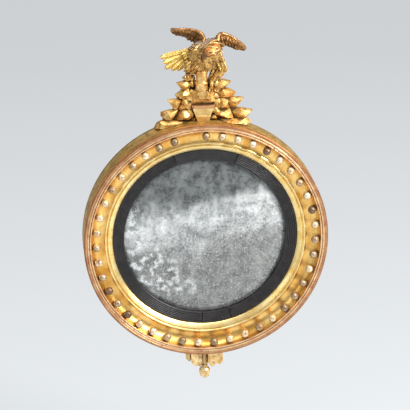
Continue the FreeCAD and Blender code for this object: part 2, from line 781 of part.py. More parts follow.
glass_radius = cell.derive("glass_radius", cell.glass_sight + cell.glass_cover, "glass's edge")
dome_radius = cell.derive(
    "dome_radius",
    (glass_radius * glass_radius + cell.dome_height * cell.dome_height) / (2 * cell.dome_height),
    "sphere that the glass is part of",
)
slip_face = cell.derive("slip_face", cell.band_fall - cove_foot, "slip's outer edge, along Y")
slip_back = cell.derive("slip_back", slip_face + cell.slip_slope + cell.slip_edge, "sight edge's back")
sight_fall = dome_radius - height_on(dome_radius, cell.glass_sight)
slip_seat = cell.derive("slip_seat", slip_back + cell.dome_height - sight_fall, "slip over the edge")
slip_section = [
    (cell.glass_sight, slip_back),
    (cell.glass_sight, slip_face + cell.slip_slope),
    (slip_radius - cell.tongue_clearance / 4, slip_face),
    (slip_radius - cell.tongue_clearance / 4, -(joint_stand + cell.tongue_front)),
    (tongue_radius, -(joint_stand + cell.tongue_front)),
    (tongue_radius, slip_seat),
    (glass_radius, slip_seat),
]
slip_arcs = [cell.slip_arc_top, cell.slip_arc_left, cell.slip_arc_bottom]
mouldings("slip", slip_section, cell.slip_joint, slip_arcs)

apex = cell.derive("apex", slip_back + cell.glass_clearance - sight_fall, "glass's front, along Y")
dome_middle = apex + dome_radius
inner_share = (dome_radius - cell.glass_thickness) / dome_radius
glass_edge = (glass_radius, apex + cell.dome_height)
glass_back = (glass_radius * inner_share, dome_middle - (dome_radius - cell.dome_height) * inner_share)
glass_back_y = cell.derive("glass_back_y", glass_back[1], "rear of the glass's edge, along Y")
front_apex, back_apex = (Size.of(0), apex), (Size.of(0), apex + cell.glass_thickness)
glass = new_body("convex_glass")
dome_rise = sagitta(dome_radius, front_apex, glass_edge)
inner_rise = sagitta(dome_radius * inner_share, back_apex, glass_back)
dome = draw(glass, "XY_Plane", [
    front_apex,
    *flats(front_apex, glass_edge, dome_rise, DOME_FLAT_COUNT),
    glass_back,
    *flats(glass_back, back_apex, -inner_rise, DOME_BACK_FLAT_COUNT),
])
revolve(glass, dome)
keep(glass)

blocks = new_body("glass_blocks")
block_outer = height_on(rebate_radius, cell.block_length / 2) - cell.fit_clearance
block_inner = glass_radius - cell.block_depth / 2
block_front = glass_back_y + cell.glass_clearance
block_outline = draw(blocks, "XY_Plane", [
    (block_inner, block_front),
    (block_outer, block_front),
    (block_outer, block_front + cell.block_depth / 2),
    (block_inner + cell.block_depth / 4, block_front + cell.block_depth),
    (block_inner, block_front + cell.block_depth),
])
block = pad(blocks, block_outline, cell.block_length, **SYMMETRIC)
polar(blocks, block, "Y_Axis", 360, cell.block_count)
place(blocks, axis=VIEWED_TURN, angle=180 / cell.block_count)
keep(blocks)


# ---------------------------------------------------------------- balls of the cove

ball_radius = cell.ball_diameter / 2
flat_turn = arcsine(round_of(cove_end, cove_start, cell.cove_hollow)[3] / (2 * cove_curve)) / COVE_FLAT_COUNT
seat_reach = cove_curve * cosine(flat_turn) - ball_radius - cell.ball_clearance
ball_aside = cell.ball_circle - cove_middle
ball_y = cell.derive(
    "ball_y", cove_front + root(seat_reach * seat_reach - ball_aside * ball_aside), "balls, along Y"
)
ball_step = 360 / cell.ball_places
BALL_SIDES = 8
FLAT = math.tan(math.radians(22.5))  # half a flat of an eight-sided ball, share of its radius
BALL_RINGS = [(-1, FLAT), (-FLAT, 1), (FLAT, 1), (1, FLAT)]  # height and radius, shares of the radius
# first place and count of each run, clockwise from the top; one ball is lost at the upper left
BALL_RUNS = {"top_right": (0, 6), "right": (6, 10), "bottom": (16, 11), "left": (27, 11), "top": (38, 4)}


def ball_run(side, first, count):
    """Balls cut to flats, each with a corner towards its seat, from the first place clockwise."""
    def corner(height):
        return lambda across, along: Vector(cell.ball_circle.value + across, ball_y.value + along, height)

    seat_turn = math.degrees(math.atan2(ball_y.value - cove_front.value, ball_aside.value))
    rings = []
    for height_share, radius_share in BALL_RINGS:
        radius = ball_radius.value * radius_share
        place_corner = corner(ball_radius.value * height_share)
        rings.append(ring_of(radius, radius, BALL_SIDES, place_corner, seat_turn))
    ball = carved(f"ball_{side}", rings)
    balls = []
    for number in range(first, first + count):
        turned = ball.Shape.copy()
        turned.rotate(Vector(), VIEWED_TURN, 90 - ball_step.value * number)
        balls.append(turned)
    run = document.addObject("Part::Feature", f"balls_{side}")
    run.Shape = Part.makeCompound(balls)
    return keep(run)


for side, (first, count) in BALL_RUNS.items():
    ball_run(side, first, count)


# ---------------------------------------------------------------- cresting: board and rockwork

board_front = cell.derive("board_front", cell.crest_rear + cell.crest_board, "backing board's front")
level = [cell.derive("level_0", seat_radius + cell.tier_0, "top of the lowest rocks")]
for number in range(1, 6):
    height = getattr(cell, f"tier_{number}")
    level.append(cell.derive(f"level_{number}", level[-1] + height, f"top of tier {number}"))

ring_space = document.addObject("Part::Cylinder", "ring_space")
bind(ring_space, "Radius", seat_radius)
bind(ring_space, "Height", crest_stand)
ring_space.Placement = FreeCAD.Placement(Vector(), FreeCAD.Rotation(*TURN_TO_FRONT))

BOARD_FOOT = 0.8  # backing board's foot, share of the lowest rock's reach
BOARD_HEAD = 0.75  # backing board's head, share of the fourth tier's reach
board_left, board_right = -cell.left_reach_0 * BOARD_FOOT, cell.right_reach_0 * BOARD_FOOT
foot_left = (board_left, height_on(seat_radius, board_left))
foot_right = (board_right, height_on(seat_radius, board_right))
crest = new_body("crest_board_blank")
pad(crest, draw(crest, "XZ_Plane", [
    foot_left,
    (*foot_right, -sagitta(seat_radius, foot_left, foot_right)),
    (cell.right_reach_4 * BOARD_HEAD, level[4]),
    (-cell.left_reach_4 * BOARD_HEAD, level[4]),
], offset=cell.crest_rear), cell.crest_board)
keep(cut("crest_board", crest, crest_sockets))


def shrink(corners, peak, share):
    """The outline drawn in towards a point."""
    return [
        (peak[0] + (x - peak[0]) * share, peak[1] + (y - peak[1]) * share) for x, y in corners
    ]


FACE_SHARE = 0.42  # a rock's front face, share of its outline
FACE_TILT = 0.3  # steepest slant of a rock's front face


def rock(name, corners, peak, turn):
    """A faceted stone: a straight root, then flats that draw in to a slanted face round its peak.

    The face leans the way that turn, in degrees, points.
    """
    front = (board_front + cell.rock_root).value
    peak_x, peak_z = (Size.of(size).value for size in peak)
    lean_x = FACE_TILT * math.cos(math.radians(turn))
    lean_z = FACE_TILT * math.sin(math.radians(turn))
    root, shoulder, face = [], [], []
    for x, z in corners:
        root.append(Vector(x.value, -board_front.value, z.value))
        shoulder.append(Vector(x.value, -front, z.value))
    for x, z in shrink(corners, peak, FACE_SHARE):
        slant = lean_x * (x.value - peak_x) + lean_z * (z.value - peak_z)
        face.append(Vector(x.value, -(front + cell.rock_facet.value + slant), z.value))
    return carved(name, [root, shoulder, face])


# Outline of the outer stone of each tier: height of its tip as a share of the tier's, and how far
# its top and its foot draw back from the tip as shares of its reach.
STONES = [(0.55, 0.22, 0.05), (0.72, 0.24, 0.14), (0.92, 0.15, 0.2), (0.45, 0.26, 0.1), (0.75, 0.3, 0.2)]
STONES.append((0.5, 0.22, 0.15))
INNER_SHARE = 0.45  # inner stone of the two lowest tiers, share of the width beside the middle
SLANT = 5.0  # slant of the split between the inner and the outer stone
FACE_TURN = 137.0  # each stone's face leans this much further round than the one before


def mirrored(sign, corners):
    """Corners of a stone on the right (sign 1) or on the left, counter-clockwise on either side."""
    placed = [(sign * x, z) for x, z in corners]
    return placed if sign == 1 else placed[::-1]


def side_rocks(side, sign, core, tiers):
    """The rocks of one side from the ring upwards, beside the middle stones."""
    for number in range(tiers):
        tip_share, ledge, undercut = STONES[number]
        reach = getattr(cell, f"{side}_reach_{number}")
        foot_x = reach * (1 - undercut)
        name = f"rock_{side}_{number}"
        turn = FACE_TURN * (number + sign)
        if number == 0:
            low, inner_low, inner_high = height_on(seat_radius, foot_x), core, core
        else:
            low = level[number - 1]
            split = core + (reach - core) * INNER_SHARE
            inner_low = split + SLANT if number < 3 else core
            inner_high = split - SLANT if number < 3 else core
        high = level[number]
        corners = [
            (foot_x, low),
            (reach, low + (high - low) * tip_share),
            (reach * (1 - ledge), high),
            (inner_high, high),
            (inner_low, height_on(seat_radius, core) if number == 0 else low),
        ]
        peak = (sign * (inner_low + reach) / 2, low + (high - low) * 0.55)
        if number == 0:
            blank = rock(f"{name}_blank", mirrored(sign, corners), peak, turn)
            keep(cut(name, blank, ring_space))
        else:
            keep(rock(name, mirrored(sign, corners), peak, turn))
        if number in (1, 2):
            corners = [(core, low), (inner_low, low), (inner_high, high), (core, high)]
            peak = (sign * (core + split) / 2, low + (high - low) * 0.4)
            keep(rock(f"rock_{side}_inner_{number}", mirrored(sign, corners), peak, turn + 90))


side_rocks("left", -1, cell.core_left, 6)
side_rocks("right", 1, cell.core_right, 5)


# ---------------------------------------------------------------- middle stones and stump

keystone_top = cell.derive("keystone_top", seat_radius + cell.keystone_height, "banded keystone")
keystone = new_body("keystone")
half_foot = cell.keystone_foot / 2
keystone_middle = (cell.core_right - cell.core_left) / 2
BAND_STEPS = (3, 2, 4)  # how far each band stands out, from the foot upwards
KEYSTONE_BANDS = len(BAND_STEPS)
half_head = (cell.core_left + cell.core_right) / 2


def keystone_edge(share):
    """Half width and height at a share of the keystone's height."""
    half = half_foot + (half_head - half_foot) * share
    return half, seat_radius + (keystone_top - seat_radius) * share


for number in range(KEYSTONE_BANDS):
    low_half, low = keystone_edge(number / KEYSTONE_BANDS)
    high_half, high = keystone_edge((number + 1) / KEYSTONE_BANDS)
    band = draw(keystone, "XZ_Plane", [
        (keystone_middle - low_half, low),
        (keystone_middle + low_half, low),
        (keystone_middle + high_half, high),
        (keystone_middle - high_half, high),
    ], board_front, f"band_{number}")
    steps = BAND_STEPS[number]
    pad(keystone, band, cell.rock_root + cell.band_step * steps, name=f"pad_{number}")
keep(keystone)

wedge_corners = [
    (-cell.core_left, keystone_top),
    (cell.core_right, keystone_top),
    (cell.core_right, level[3]),
    (-cell.core_left, level[3]),
]
wedge_peak = (keystone_middle, level[3])
keep(rock("wedge_stone", wedge_corners, wedge_peak, -90))


SWELL_SIDES = 12


def swell(name, sections, upright=False):
    """A carved form through oval rings; each section is (width, depth, x, y, z).

    The rings lie flat or, if upright, face the viewer.
    """
    def corner(x, y, z):
        if upright:
            return lambda across, along: Vector(x + across, y, z + along)
        return lambda across, along: Vector(x + across, y + along, z)

    rings = []
    for section in sections:
        width, depth, x, y, z = (Size.of(size).value for size in section)
        rings.append(ring_of(width / 2, depth / 2, SWELL_SIDES, corner(x, y, z), 180 / SWELL_SIDES))
    return carved(name, rings)


stump_foot = level[3]
perch = cell.derive("perch", stump_foot + cell.stump_height, "top of the stump")
STUMP_FLARE = 1.1  # foot of the stump, share of its head
STUMP_WAIST = 0.86
stump_depth = cell.stump_width * 0.7
stump_y = -(board_front + stump_depth * STUMP_FLARE / 2)
stump_x = keystone_middle * 2
waist_height = stump_foot + cell.stump_height * 0.45
stump_rings = []
for share, height in ((STUMP_FLARE, stump_foot), (STUMP_WAIST, waist_height), (1, perch)):
    stump_rings.append((cell.stump_width * share, stump_depth * share, stump_x, stump_y, height))
keep(swell("stump", stump_rings))


# ---------------------------------------------------------------- eagle

torso_y = stump_y
# height and width as shares of the torso's, and its lean as a share of the whole lean
TORSO_SECTIONS = [
    (0.0, 0.35, 0.15),
    (0.16, 0.72, 0.3),
    (0.38, 0.94, 0.35),
    (0.66, 1.0, 0.3),
    (0.86, 0.8, 0.6),
    (1.0, 0.44, 1.0),
]
torso_sections = []
for height_share, width_share, lean_share in TORSO_SECTIONS:
    torso_sections.append((
        cell.torso_width * width_share,
        cell.torso_depth * width_share,
        stump_x / 2 + cell.torso_lean * lean_share,
        torso_y + cell.torso_depth * 0.12 * lean_share,
        perch + cell.torso_height * height_share,
    ))
torso = swell("eagle_body", torso_sections)
keep(torso)

# Each ring of the head: height and width as shares of the neck's, way to the left as a share of
# the head's turn, way to the front as a share of its reach, and drop as a share of the neck's width.
HEAD_SECTIONS = [
    (0.95, 1.0, 0.0, -0.35, 0.0),
    (0.9, 0.95, 0.25, 0.35, 0.16),
    (0.72, 0.78, 0.62, 0.8, 0.3),
    (0.4, 0.36, 0.84, 1.0, 0.42),
]
head_x = cell.torso_lean + cell.head_width * 0.35
head_z = perch + cell.torso_height * 0.72
breast = torso_y - cell.torso_depth / 2
head_rings = []
for depth_share, width_share, turn_share, reach_share, drop_share in HEAD_SECTIONS:
    head_rings.append((
        cell.head_width * width_share,
        cell.head_width * depth_share,
        head_x - cell.head_turn * turn_share,
        breast - cell.head_reach * reach_share,
        head_z - cell.head_width * drop_share,
    ))
beak_tip = cell.head_width * 0.07
head_rings.append((
    beak_tip,
    beak_tip,
    head_x - cell.head_turn,
    breast - cell.head_reach - beak_tip,
    head_z - cell.head_width * 0.42 - cell.beak_length * 0.8,
))
head = swell("eagle_head_whole", head_rings, upright=True)
keep(cut("eagle_head", head, torso))

# Wing outlines as shares of the span and the chord, counter-clockwise; the third number is an
# arc's rise as a share of the chord.
LEFT_WING = [
    (-0.98, 0.65, 0.06),
    (-0.8, 0.28, 0.08),
    (-0.75, 0.34),
    (-0.55, 0.08, 0.1),
    (-0.5, 0.12),
    (-0.38, -0.3, 0.08),
    (-0.34, -0.26),
    (-0.2, -0.6, 0.08),
    (0.1, -0.6),
    (0.1, 0.3),
    (-0.05, 0.44),
    (-0.25, 0.8, 0.1),
    (-0.77, 1.0, 0.08),
]
RIGHT_WING = [
    (0.0, 0.25),
    (0.0, -0.5),
    (0.24, -0.5),
    (0.39, -0.28),
    (0.58, -0.54, 0.08),
    (0.6, -0.5),
    (0.76, -0.74, 0.08),
    (0.79, -0.66),
    (1.0, -0.8, 0.05),
    (0.83, 0.02, 0.06),
    (0.49, 0.69, 0.06),
    (0.23, 1.0, 0.05),
    (0.14, 0.82, 0.04),
]
COVERT_SPAN, COVERT_CHORD = 0.6, 0.74  # the short feathers' reach, shares of the span and the chord

def wing(name, outline, span, x, z):
    """A spread wing: flight feathers with a row of short feathers in front of them."""
    body = new_body(f"{name}_blank")
    chord = cell.wing_chord
    long_corners, short_corners = [], []
    for x_share, z_share, *rises in outline:
        long_corners.append((span * x_share, chord * z_share, *(chord * rise for rise in rises)))
        x_share, z_share = x_share * COVERT_SPAN, z_share * COVERT_CHORD
        rises = [rise * COVERT_CHORD for rise in rises]
        short_corners.append((span * x_share, chord * z_share, *(chord * rise for rise in rises)))
    rear = cell.crest_rear + cell.wing_thickness
    pad(body, draw(body, "XZ_Plane", long_corners, rear, "feathers"), cell.wing_thickness, "flight")
    front = rear + cell.wing_thickness
    pad(body, draw(body, "XZ_Plane", short_corners, front, "coverts"), cell.covert_thickness, "short")
    place(body, x, 0, z)
    return keep(cut(name, body, torso))


wing_root = perch + cell.torso_height * 0.9
wing("eagle_left_wing", LEFT_WING, cell.left_wing_span, 0, wing_root)
right_root = perch + cell.torso_height * 0.73
wing("eagle_right_wing", RIGHT_WING, cell.right_wing_span, cell.torso_lean + 8, right_root)

tail = new_body("eagle_tail_blank")
# direction of each tail feather, in degrees, and its length as a share of the longest
FEATHERS = [(191, 1.0), (201.5, 0.97), (211.5, 1.0), (221, 0.87), (230, 0.76)]
half_quill = cell.feather_width * 0.3
half_feather = cell.feather_width / 2
tail_rear = cell.crest_rear + cell.wing_thickness * 2
for number, (angle, length_share) in enumerate(FEATHERS):
    along_x, along_z = cosine(angle), sine(angle)
    straight = cell.tail_length * length_share - half_feather
    corners = []
    for along, aside in ((0, -1), (1, -1), (1, 1), (0, 1)):
        half = half_feather if along else half_quill
        x = straight * along * along_x - half * aside * along_z
        z = straight * along * along_z + half * aside * along_x
        corners.append((x, z, half_feather) if (along, aside) == (1, 1) else (x, z))
    feather = draw(tail, "XZ_Plane", corners, tail_rear, f"feather_{number}")
    pad(tail, feather, cell.feather_thickness * (1 + 0.2 * (number % 2)), name=f"vane_{number}")
place(tail, -cell.torso_width * 0.24, 0, perch + cell.torso_height * 0.55)
keep(cut("eagle_tail", tail, torso))


def leg(name, foot, shank, knee, hip):
    """A feathered thigh that narrows to a foot with three claws; each place is (x, z)."""
    width = cell.thigh_width
    form = swell(f"{name}_form", [
        (width * 0.36, width * 0.36, foot[0], torso_y, foot[1]),
        (width * 0.42, width * 0.42, shank[0], torso_y, shank[1]),
        (width, width * 0.85, knee[0], torso_y, knee[1]),
        (width * 0.8, width * 0.75, hip[0], torso_y, hip[1]),
    ])
    toe_width = width * 0.24
    toes = []
    for number, spread in enumerate((-0.4, 0, 0.4)):
        toe_start = (toe_width, toe_width, foot[0], torso_y, foot[1] + toe_width / 2)
        toe_end = (toe_width * 0.3, toe_width * 0.3, foot[0] + cell.claw_length * spread)
        toe_end += (torso_y - cell.claw_length, foot[1] + toe_width * 0.2)
        toes.append(swell(f"{name}_toe_{number}", [toe_start, toe_end], upright=True))
    return keep(cut(name, fuse(f"{name}_whole", [form, *toes]), torso))


left_foot = (-(cell.core_left + 9), level[5])
left_knee = (left_foot[0] + 9, level[5] + 24)
leg("eagle_left_leg", left_foot, (left_foot[0] + 1, level[5] + 9), left_knee, (-12, perch + 30))
right_foot_x = (stump_x + cell.stump_width / 2 + cell.core_right) / 2
right_foot = (right_foot_x, level[3])
right_knee = (cell.core_right + 14, level[4] + 24)
leg("eagle_right_leg", right_foot, (right_foot_x + 1, level[4] + 4), right_knee, (26, perch + 30))


# ---------------------------------------------------------------- apron of leaves and its bud

apron = new_body("apron_leaves_blank")
# middle, width, drop and depth of each leaf, as shares of the large leaf's width, the apron's drop
# and the apron's thickness
LEAVES = [
    (-1.95, 0.75, 0.7, 0.6),
    (-1.03, 1.42, 0.96, 0.85),
    (0.0, 0.78, 1.0, 0.6),
    (0.9, 1.12, 0.96, 1.0),
    (1.8, 0.9, 0.92, 0.8),
]
for number, (middle_share, width_share, drop_share, depth_share) in enumerate(LEAVES):
    middle = cell.leaf_width * middle_share
    half = cell.leaf_width * width_share / 2
    top = -(ring_radius - cell.leaf_width)
    foot = -(ring_radius + cell.apron_drop * drop_share)
    belly = foot + half * 1.2
    leaf = draw(apron, "XZ_Plane", [
        (middle - half, top),
        (middle - half, belly),
        (middle, foot, half * 0.25),
        (middle + half, belly, half * 0.25),
        (middle + half, top),
    ], cell.apron_stand, f"leaf_{number}")
    pad(apron, leaf, cell.apron_thickness * depth_share, name=f"pad_{number}")
seat = circle(apron, "XZ_Plane", 0, 0, seat_radius, cell.apron_stand, "seat")
pocket(apron, seat, 4 * cell.apron_thickness, name="seated", **SYMMETRIC)
keep(cut("apron_leaves", apron, apron_sockets))

bud_top = -(ring_radius + cell.apron_drop)
bud_y = -(cell.apron_stand + cell.apron_thickness / 2)
# width and drop of each ring of the bud, as shares of its width and length
BUD_RINGS = [(0.45, 0.0), (0.72, 0.1), (0.98, 0.28), (1.0, 0.48), (0.8, 0.74), (0.4, 0.93), (0.12, 1.0)]
bud_sections = []
for width_share, drop_share in BUD_RINGS:
    width = cell.bud_width * width_share
    bud_sections.append((width, width, 0, bud_y, bud_top - cell.bud_length * drop_share))
keep(swell("apron_bud", bud_sections))


# ---------------------------------------------------------------- checks and files

document.recompute()
for made in document.Objects:
    if "Invalid" in made.State or "Error" in made.State:
        raise RuntimeError(f"{made.Name} failed: {made.State}")
for node in nodes:
    if node.Shape.isNull() or not node.Shape.isValid():
        raise RuntimeError(f"{node.Label} has no valid shape")
os.makedirs("parts", exist_ok=True)
for node in nodes:
    node.Shape.exportStep(f"parts/{node.Label}.step")
    print(node.Label, len(node.Shape.Solids), round(node.Shape.Volume))
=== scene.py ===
"""Dresses the convex mirror: gilded ring, black slip, old silvered glass, eagle on rocks, leaf apron."""

import bmesh
import bpy
import math
import random
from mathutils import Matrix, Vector
from mathutils import noise


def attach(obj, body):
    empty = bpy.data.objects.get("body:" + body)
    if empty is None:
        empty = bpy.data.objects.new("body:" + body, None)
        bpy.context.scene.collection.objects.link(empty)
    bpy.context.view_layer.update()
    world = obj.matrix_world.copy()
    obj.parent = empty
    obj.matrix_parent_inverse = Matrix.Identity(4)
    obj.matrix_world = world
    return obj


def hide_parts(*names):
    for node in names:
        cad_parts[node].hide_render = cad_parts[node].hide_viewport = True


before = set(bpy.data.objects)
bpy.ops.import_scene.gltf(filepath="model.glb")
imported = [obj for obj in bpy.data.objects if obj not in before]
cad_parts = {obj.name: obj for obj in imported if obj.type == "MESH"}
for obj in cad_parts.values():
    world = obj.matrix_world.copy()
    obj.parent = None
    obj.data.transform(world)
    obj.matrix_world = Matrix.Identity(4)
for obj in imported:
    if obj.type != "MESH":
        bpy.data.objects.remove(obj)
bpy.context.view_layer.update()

# ------------------------------------------------------------------ rear ring of felloes
# Four quarter lengths of pine, butted and glued into the ring that carries everything else.
# The outside was gessoed and oil gilded and has gone a dull olive; inside and back are bare wood.
# The mouldings are run along a straight line and then bent round the ring by their own length.
MM = 0.001
BORE, RING, WALL_FACE, REAR_TOP = 220.9, 281.8, -9.0, -47.0


def linear(code):
    """An sRGB hex colour as Blender's linear red, green, blue and alpha."""
    shares = [int(code[place:place + 2], 16) / 255 for place in (1, 3, 5)]
    return [*(s / 12.92 if s <= 0.04045 else ((s + 0.055) / 1.055) ** 2.4 for s in shares), 1.0]


def add(tree, kind, settings=None, sockets=None):
    """Add a node, set its properties, and link its sockets or set their values."""
    made = tree.nodes.new(kind)
    for key, value in (settings or {}).items():
        setattr(made, key, value)
    for key, value in (sockets or {}).items():
        if isinstance(value, bpy.types.NodeSocket):
            tree.links.new(value, made.inputs[key])
        else:
            made.inputs[key].default_value = value
    return made


COLOURS = {"data_type": "RGBA"}
MULTIPLIED = {"data_type": "RGBA", "blend_type": "MULTIPLY"}


def start_finish(name):
    """An empty finish: its material, node tree, shader and the place on the object, in metres."""
    material = bpy.data.materials.new(name)
    material.use_nodes = True
    tree = material.node_tree
    place = add(tree, "ShaderNodeTexCoord").outputs["Object"]
    return material, tree, tree.nodes["Principled BSDF"], place


def patches(tree, place, size, low, high, detail=4.0, roughness=0.6):
    """A mask of soft patches about size millimetres across, from 0 at low noise to 1 at high."""
    cloud = add(tree, "ShaderNodeTexNoise", None, {
        "Vector": place, "Scale": 1 / (size * MM), "Detail": detail, "Roughness": roughness,
    })
    return add(tree, "ShaderNodeMapRange", None, {
        "Value": cloud.outputs[0], "From Min": low, "From Max": high,
    }).outputs["Result"]


def radius_of(tree, place):
    """Distance from the middle of the glass, in millimetres, across the face of the object."""
    flat = add(tree, "ShaderNodeVectorMath", {"operation": "MULTIPLY"}, {0: place, 1: (1000, 0, 1000)})
    return add(tree, "ShaderNodeVectorMath", {"operation": "LENGTH"}, {0: flat.outputs[0]}).outputs[1]


def pine(tree, place, along=(1.0, 1.0, 0.12)):
    """Colour of old bare pine: brown from air and dust, with grain along one axis."""
    stretched = add(tree, "ShaderNodeMapping", None, {"Vector": place, "Scale": along})
    grain = patches(tree, stretched.outputs[0], 4.0, 0.3, 0.7, 6.0)
    wood = add(tree, "ShaderNodeMix", COLOURS, {0: grain, 6: linear("#6E4A2C"), 7: linear("#A67C50")})
    grime = patches(tree, place, 90.0, 0.45, 0.75)
    aged = add(tree, "ShaderNodeMix", COLOURS, {0: grime, 6: wood.outputs[2], 7: linear("#4E3824")})
    return aged.outputs[2]


def ramp_of(tree, value, stops):
    """A ramp's colour output, for its value and its stops of share and colour."""
    ramp = add(tree, "ShaderNodeValToRGB", None, {0: value})
    for number, (share, code) in enumerate(stops):
        spot = ramp.color_ramp.elements[number] if number < 2 else ramp.color_ramp.elements.new(0.5)
        spot.position, spot.color = share, linear(code)
    return ramp.outputs[0]


# Old oil gilding over yellow ochre size on gesso: never burnished, so it is satin and dusty.
side_gilding, tree, shader, place = start_finish("oil_gilding_on_side")
dust = patches(tree, place, 22.0, 0.35, 0.7)
leaf = add(tree, "ShaderNodeMix", COLOURS, {0: dust, 6: linear("#DCB868"), 7: linear("#98783E")})
rubbed = patches(tree, place, 9.0, 0.58, 0.66, 6.0)
scuffed = add(tree, "ShaderNodeMix", COLOURS, {0: rubbed, 6: leaf.outputs[2], 7: linear("#7A5232")})
reach = radius_of(tree, place)
depth = add(tree, "ShaderNodeSeparateXYZ", None, {"Vector": place}).outputs["Y"]
# grime and painted shade across the side: darker at the rear edge by the wall, and painted shade in both
# quirks of the bead and below the rim
across_side = add(tree, "ShaderNodeMapRange", None, {"Value": depth, "From Min": -0.009, "From Max": -0.081})
SIDE_GRIME_AND_SHADE = [
    (0.0, "#5A4630"), (0.08, "#C8BCA0"), (0.2, "#FFFFFF"), (0.5, "#E8DCC8"), (0.53, "#7A5438"),
    (0.56, "#E8D8C0"), (0.69, "#8A6244"), (0.74, "#F0D8C0"), (0.8, "#6A4428"), (0.83, "#FFE8D8"),
    (1.0, "#FFE0C8"),
]
gilded = add(tree, "ShaderNodeMix", MULTIPLIED, {
    0: 0.85, 6: scuffed.outputs[2], 7: ramp_of(tree, across_side.outputs[0], SIDE_GRIME_AND_SHADE),
})
ragged = add(tree, "ShaderNodeMath", {"operation": "MULTIPLY_ADD"}, {
    0: patches(tree, place, 12.0, 0.2, 0.8), 1: 7.0, 2: reach,
}).outputs[0]
outside = add(tree, "ShaderNodeMapRange", None, {"Value": ragged, "From Min": 280.5, "From Max": 282.5})
front = add(tree, "ShaderNodeMapRange", None, {"Value": depth, "From Min": -0.0465, "From Max": -0.0468})
covered = add(tree, "ShaderNodeMath", {"operation": "MAXIMUM"}, {
    0: outside.outputs[0], 1: front.outputs[0],
}).outputs[0]
skin = add(tree, "ShaderNodeMix", COLOURS, {0: covered, 6: pine(tree, place), 7: gilded.outputs[2]})
metal = add(tree, "ShaderNodeMath", {"operation": "MULTIPLY"}, {0: covered, 1: 0.55}).outputs[0]
tree.links.new(skin.outputs[2], shader.inputs["Base Color"])
tree.links.new(metal, shader.inputs["Metallic"])
shader.inputs["Roughness"].default_value = 0.52
pores = add(tree, "ShaderNodeTexNoise", None, {"Vector": place, "Scale": 600.0, "Detail": 4.0})
relief = add(tree, "ShaderNodeBump", None, {"Height": pores.outputs[0], "Strength": 0.25, "Distance": 0.0006})
tree.links.new(relief.outputs[0], shader.inputs["Normal"])


def moulding_tree():
    """Runs a closed section of (radius, y) along an arc of the ring, from one joint to the next."""
    made = bpy.data.node_groups.new("run_a_moulding", "GeometryNodeTree")
    sockets = made.interface
    sockets.new_socket("Section", in_out="INPUT", socket_type="NodeSocketGeometry")
    for title in ("First angle", "Last angle", "Unevenness"):
        sockets.new_socket(title, in_out="INPUT", socket_type="NodeSocketFloat")
    sockets.new_socket("Steps", in_out="INPUT", socket_type="NodeSocketInt")
    sockets.new_socket("Finish", in_out="INPUT", socket_type="NodeSocketMaterial")
    sockets.new_socket("Moulding", in_out="OUTPUT", socket_type="NodeSocketGeometry")
    given = add(made, "NodeGroupInput").outputs
    section = add(made, "GeometryNodeMeshToCurve", None, {"Mesh": given["Section"]})
    ends = [
        add(made, "ShaderNodeCombineXYZ", None, {"Y": given[title]}).outputs[0]
        for title in ("First angle", "Last angle")
    ]
    run = add(made, "GeometryNodeCurvePrimitiveLine", None, {"Start": ends[0], "End": ends[1]})
    stepped = add(made, "GeometryNodeResampleCurve", None, {"Curve": run.outputs[0], "Count": given["Steps"]})
    upright = add(made, "GeometryNodeSetCurveNormal", {"mode": "Z_UP"}, {"Curve": stepped.outputs[0]})
    swept = add(made, "GeometryNodeCurveToMesh", None, {
        "Curve": upright.outputs[0], "Profile Curve": section.outputs[0], "Fill Caps": True,
    })
    where = add(made, "GeometryNodeInputPosition").outputs[0]
    part = add(made, "ShaderNodeSeparateXYZ", None, {"Vector": where}).outputs
    turned = []
    for operation in ("COSINE", "SINE"):
        share = add(made, "ShaderNodeMath", {"operation": operation}, {0: part["Y"]}).outputs[0]
        across = add(made, "ShaderNodeMath", {"operation": "MULTIPLY"}, {0: share, 1: part["X"]})
        turned.append(across.outputs[0])
    rear = add(made, "ShaderNodeMath", {"operation": "MULTIPLY"}, {0: part["Z"], 1: -1.0}).outputs[0]
    bent = add(made, "ShaderNodeCombineXYZ", None, {"X": turned[0], "Y": rear, "Z": turned[1]})
    ring = add(made, "GeometryNodeSetPosition", None, {
        "Geometry": swept.outputs[0], "Position": bent.outputs[0],
    })
    wander = add(made, "ShaderNodeTexNoise", None, {
        "Vector": add(made, "GeometryNodeInputPosition").outputs[0], "Scale": 14.0, "Detail": 1.0,
    })
    centred = add(made, "ShaderNodeVectorMath", {"operation": "SUBTRACT"}, {
        0: wander.outputs["Color"], 1: (0.5, 0.5, 0.5),
    })
    shift = add(made, "ShaderNodeVectorMath", {"operation": "SCALE"}, {
        0: centred.outputs[0], "Scale": given["Unevenness"],
    })
    worked = add(made, "GeometryNodeSetPosition", None, {
        "Geometry": ring.outputs[0], "Offset": shift.outputs[0],
    })
    real = add(made, "GeometryNodeRealizeInstances", None, {"Geometry": worked.outputs[0]})
    dressed = add(made, "GeometryNodeSetMaterial", None, {
        "Geometry": real.outputs[0], "Material": given["Finish"],
    })
    add(made, "NodeGroupOutput", None, {"Moulding": dressed.outputs[0]})
    return made


def grow(mesh, tree, name, **inputs):
    """Run a Geometry Nodes tree on a mesh and keep its result as a plain object at the origin."""
    raw = bpy.data.objects.new(name, mesh)
    bpy.context.scene.collection.objects.link(raw)
    modifier = raw.modifiers.new("rule", "NODES")
    modifier.node_group = tree
    titles = {title.replace("_", " "): value for title, value in inputs.items()}
    for socket in tree.interface.items_tree:
        if socket.in_out == "INPUT" and socket.name in titles:
            modifier[socket.identifier] = titles[socket.name]
    shape = raw.evaluated_get(bpy.context.evaluated_depsgraph_get())
    result = bpy.data.meshes.new_from_object(shape)
    raw.modifiers.remove(modifier)
    raw.data = result
    return raw


def smooth(piece, angle=40):
    """Round shading, with true edges kept where faces meet more sharply than the angle."""
    piece.data.polygons.foreach_set("use_smooth", [True] * len(piece.data.polygons))
    piece.data.set_sharp_from_angle(angle=math.radians(angle))
    return piece


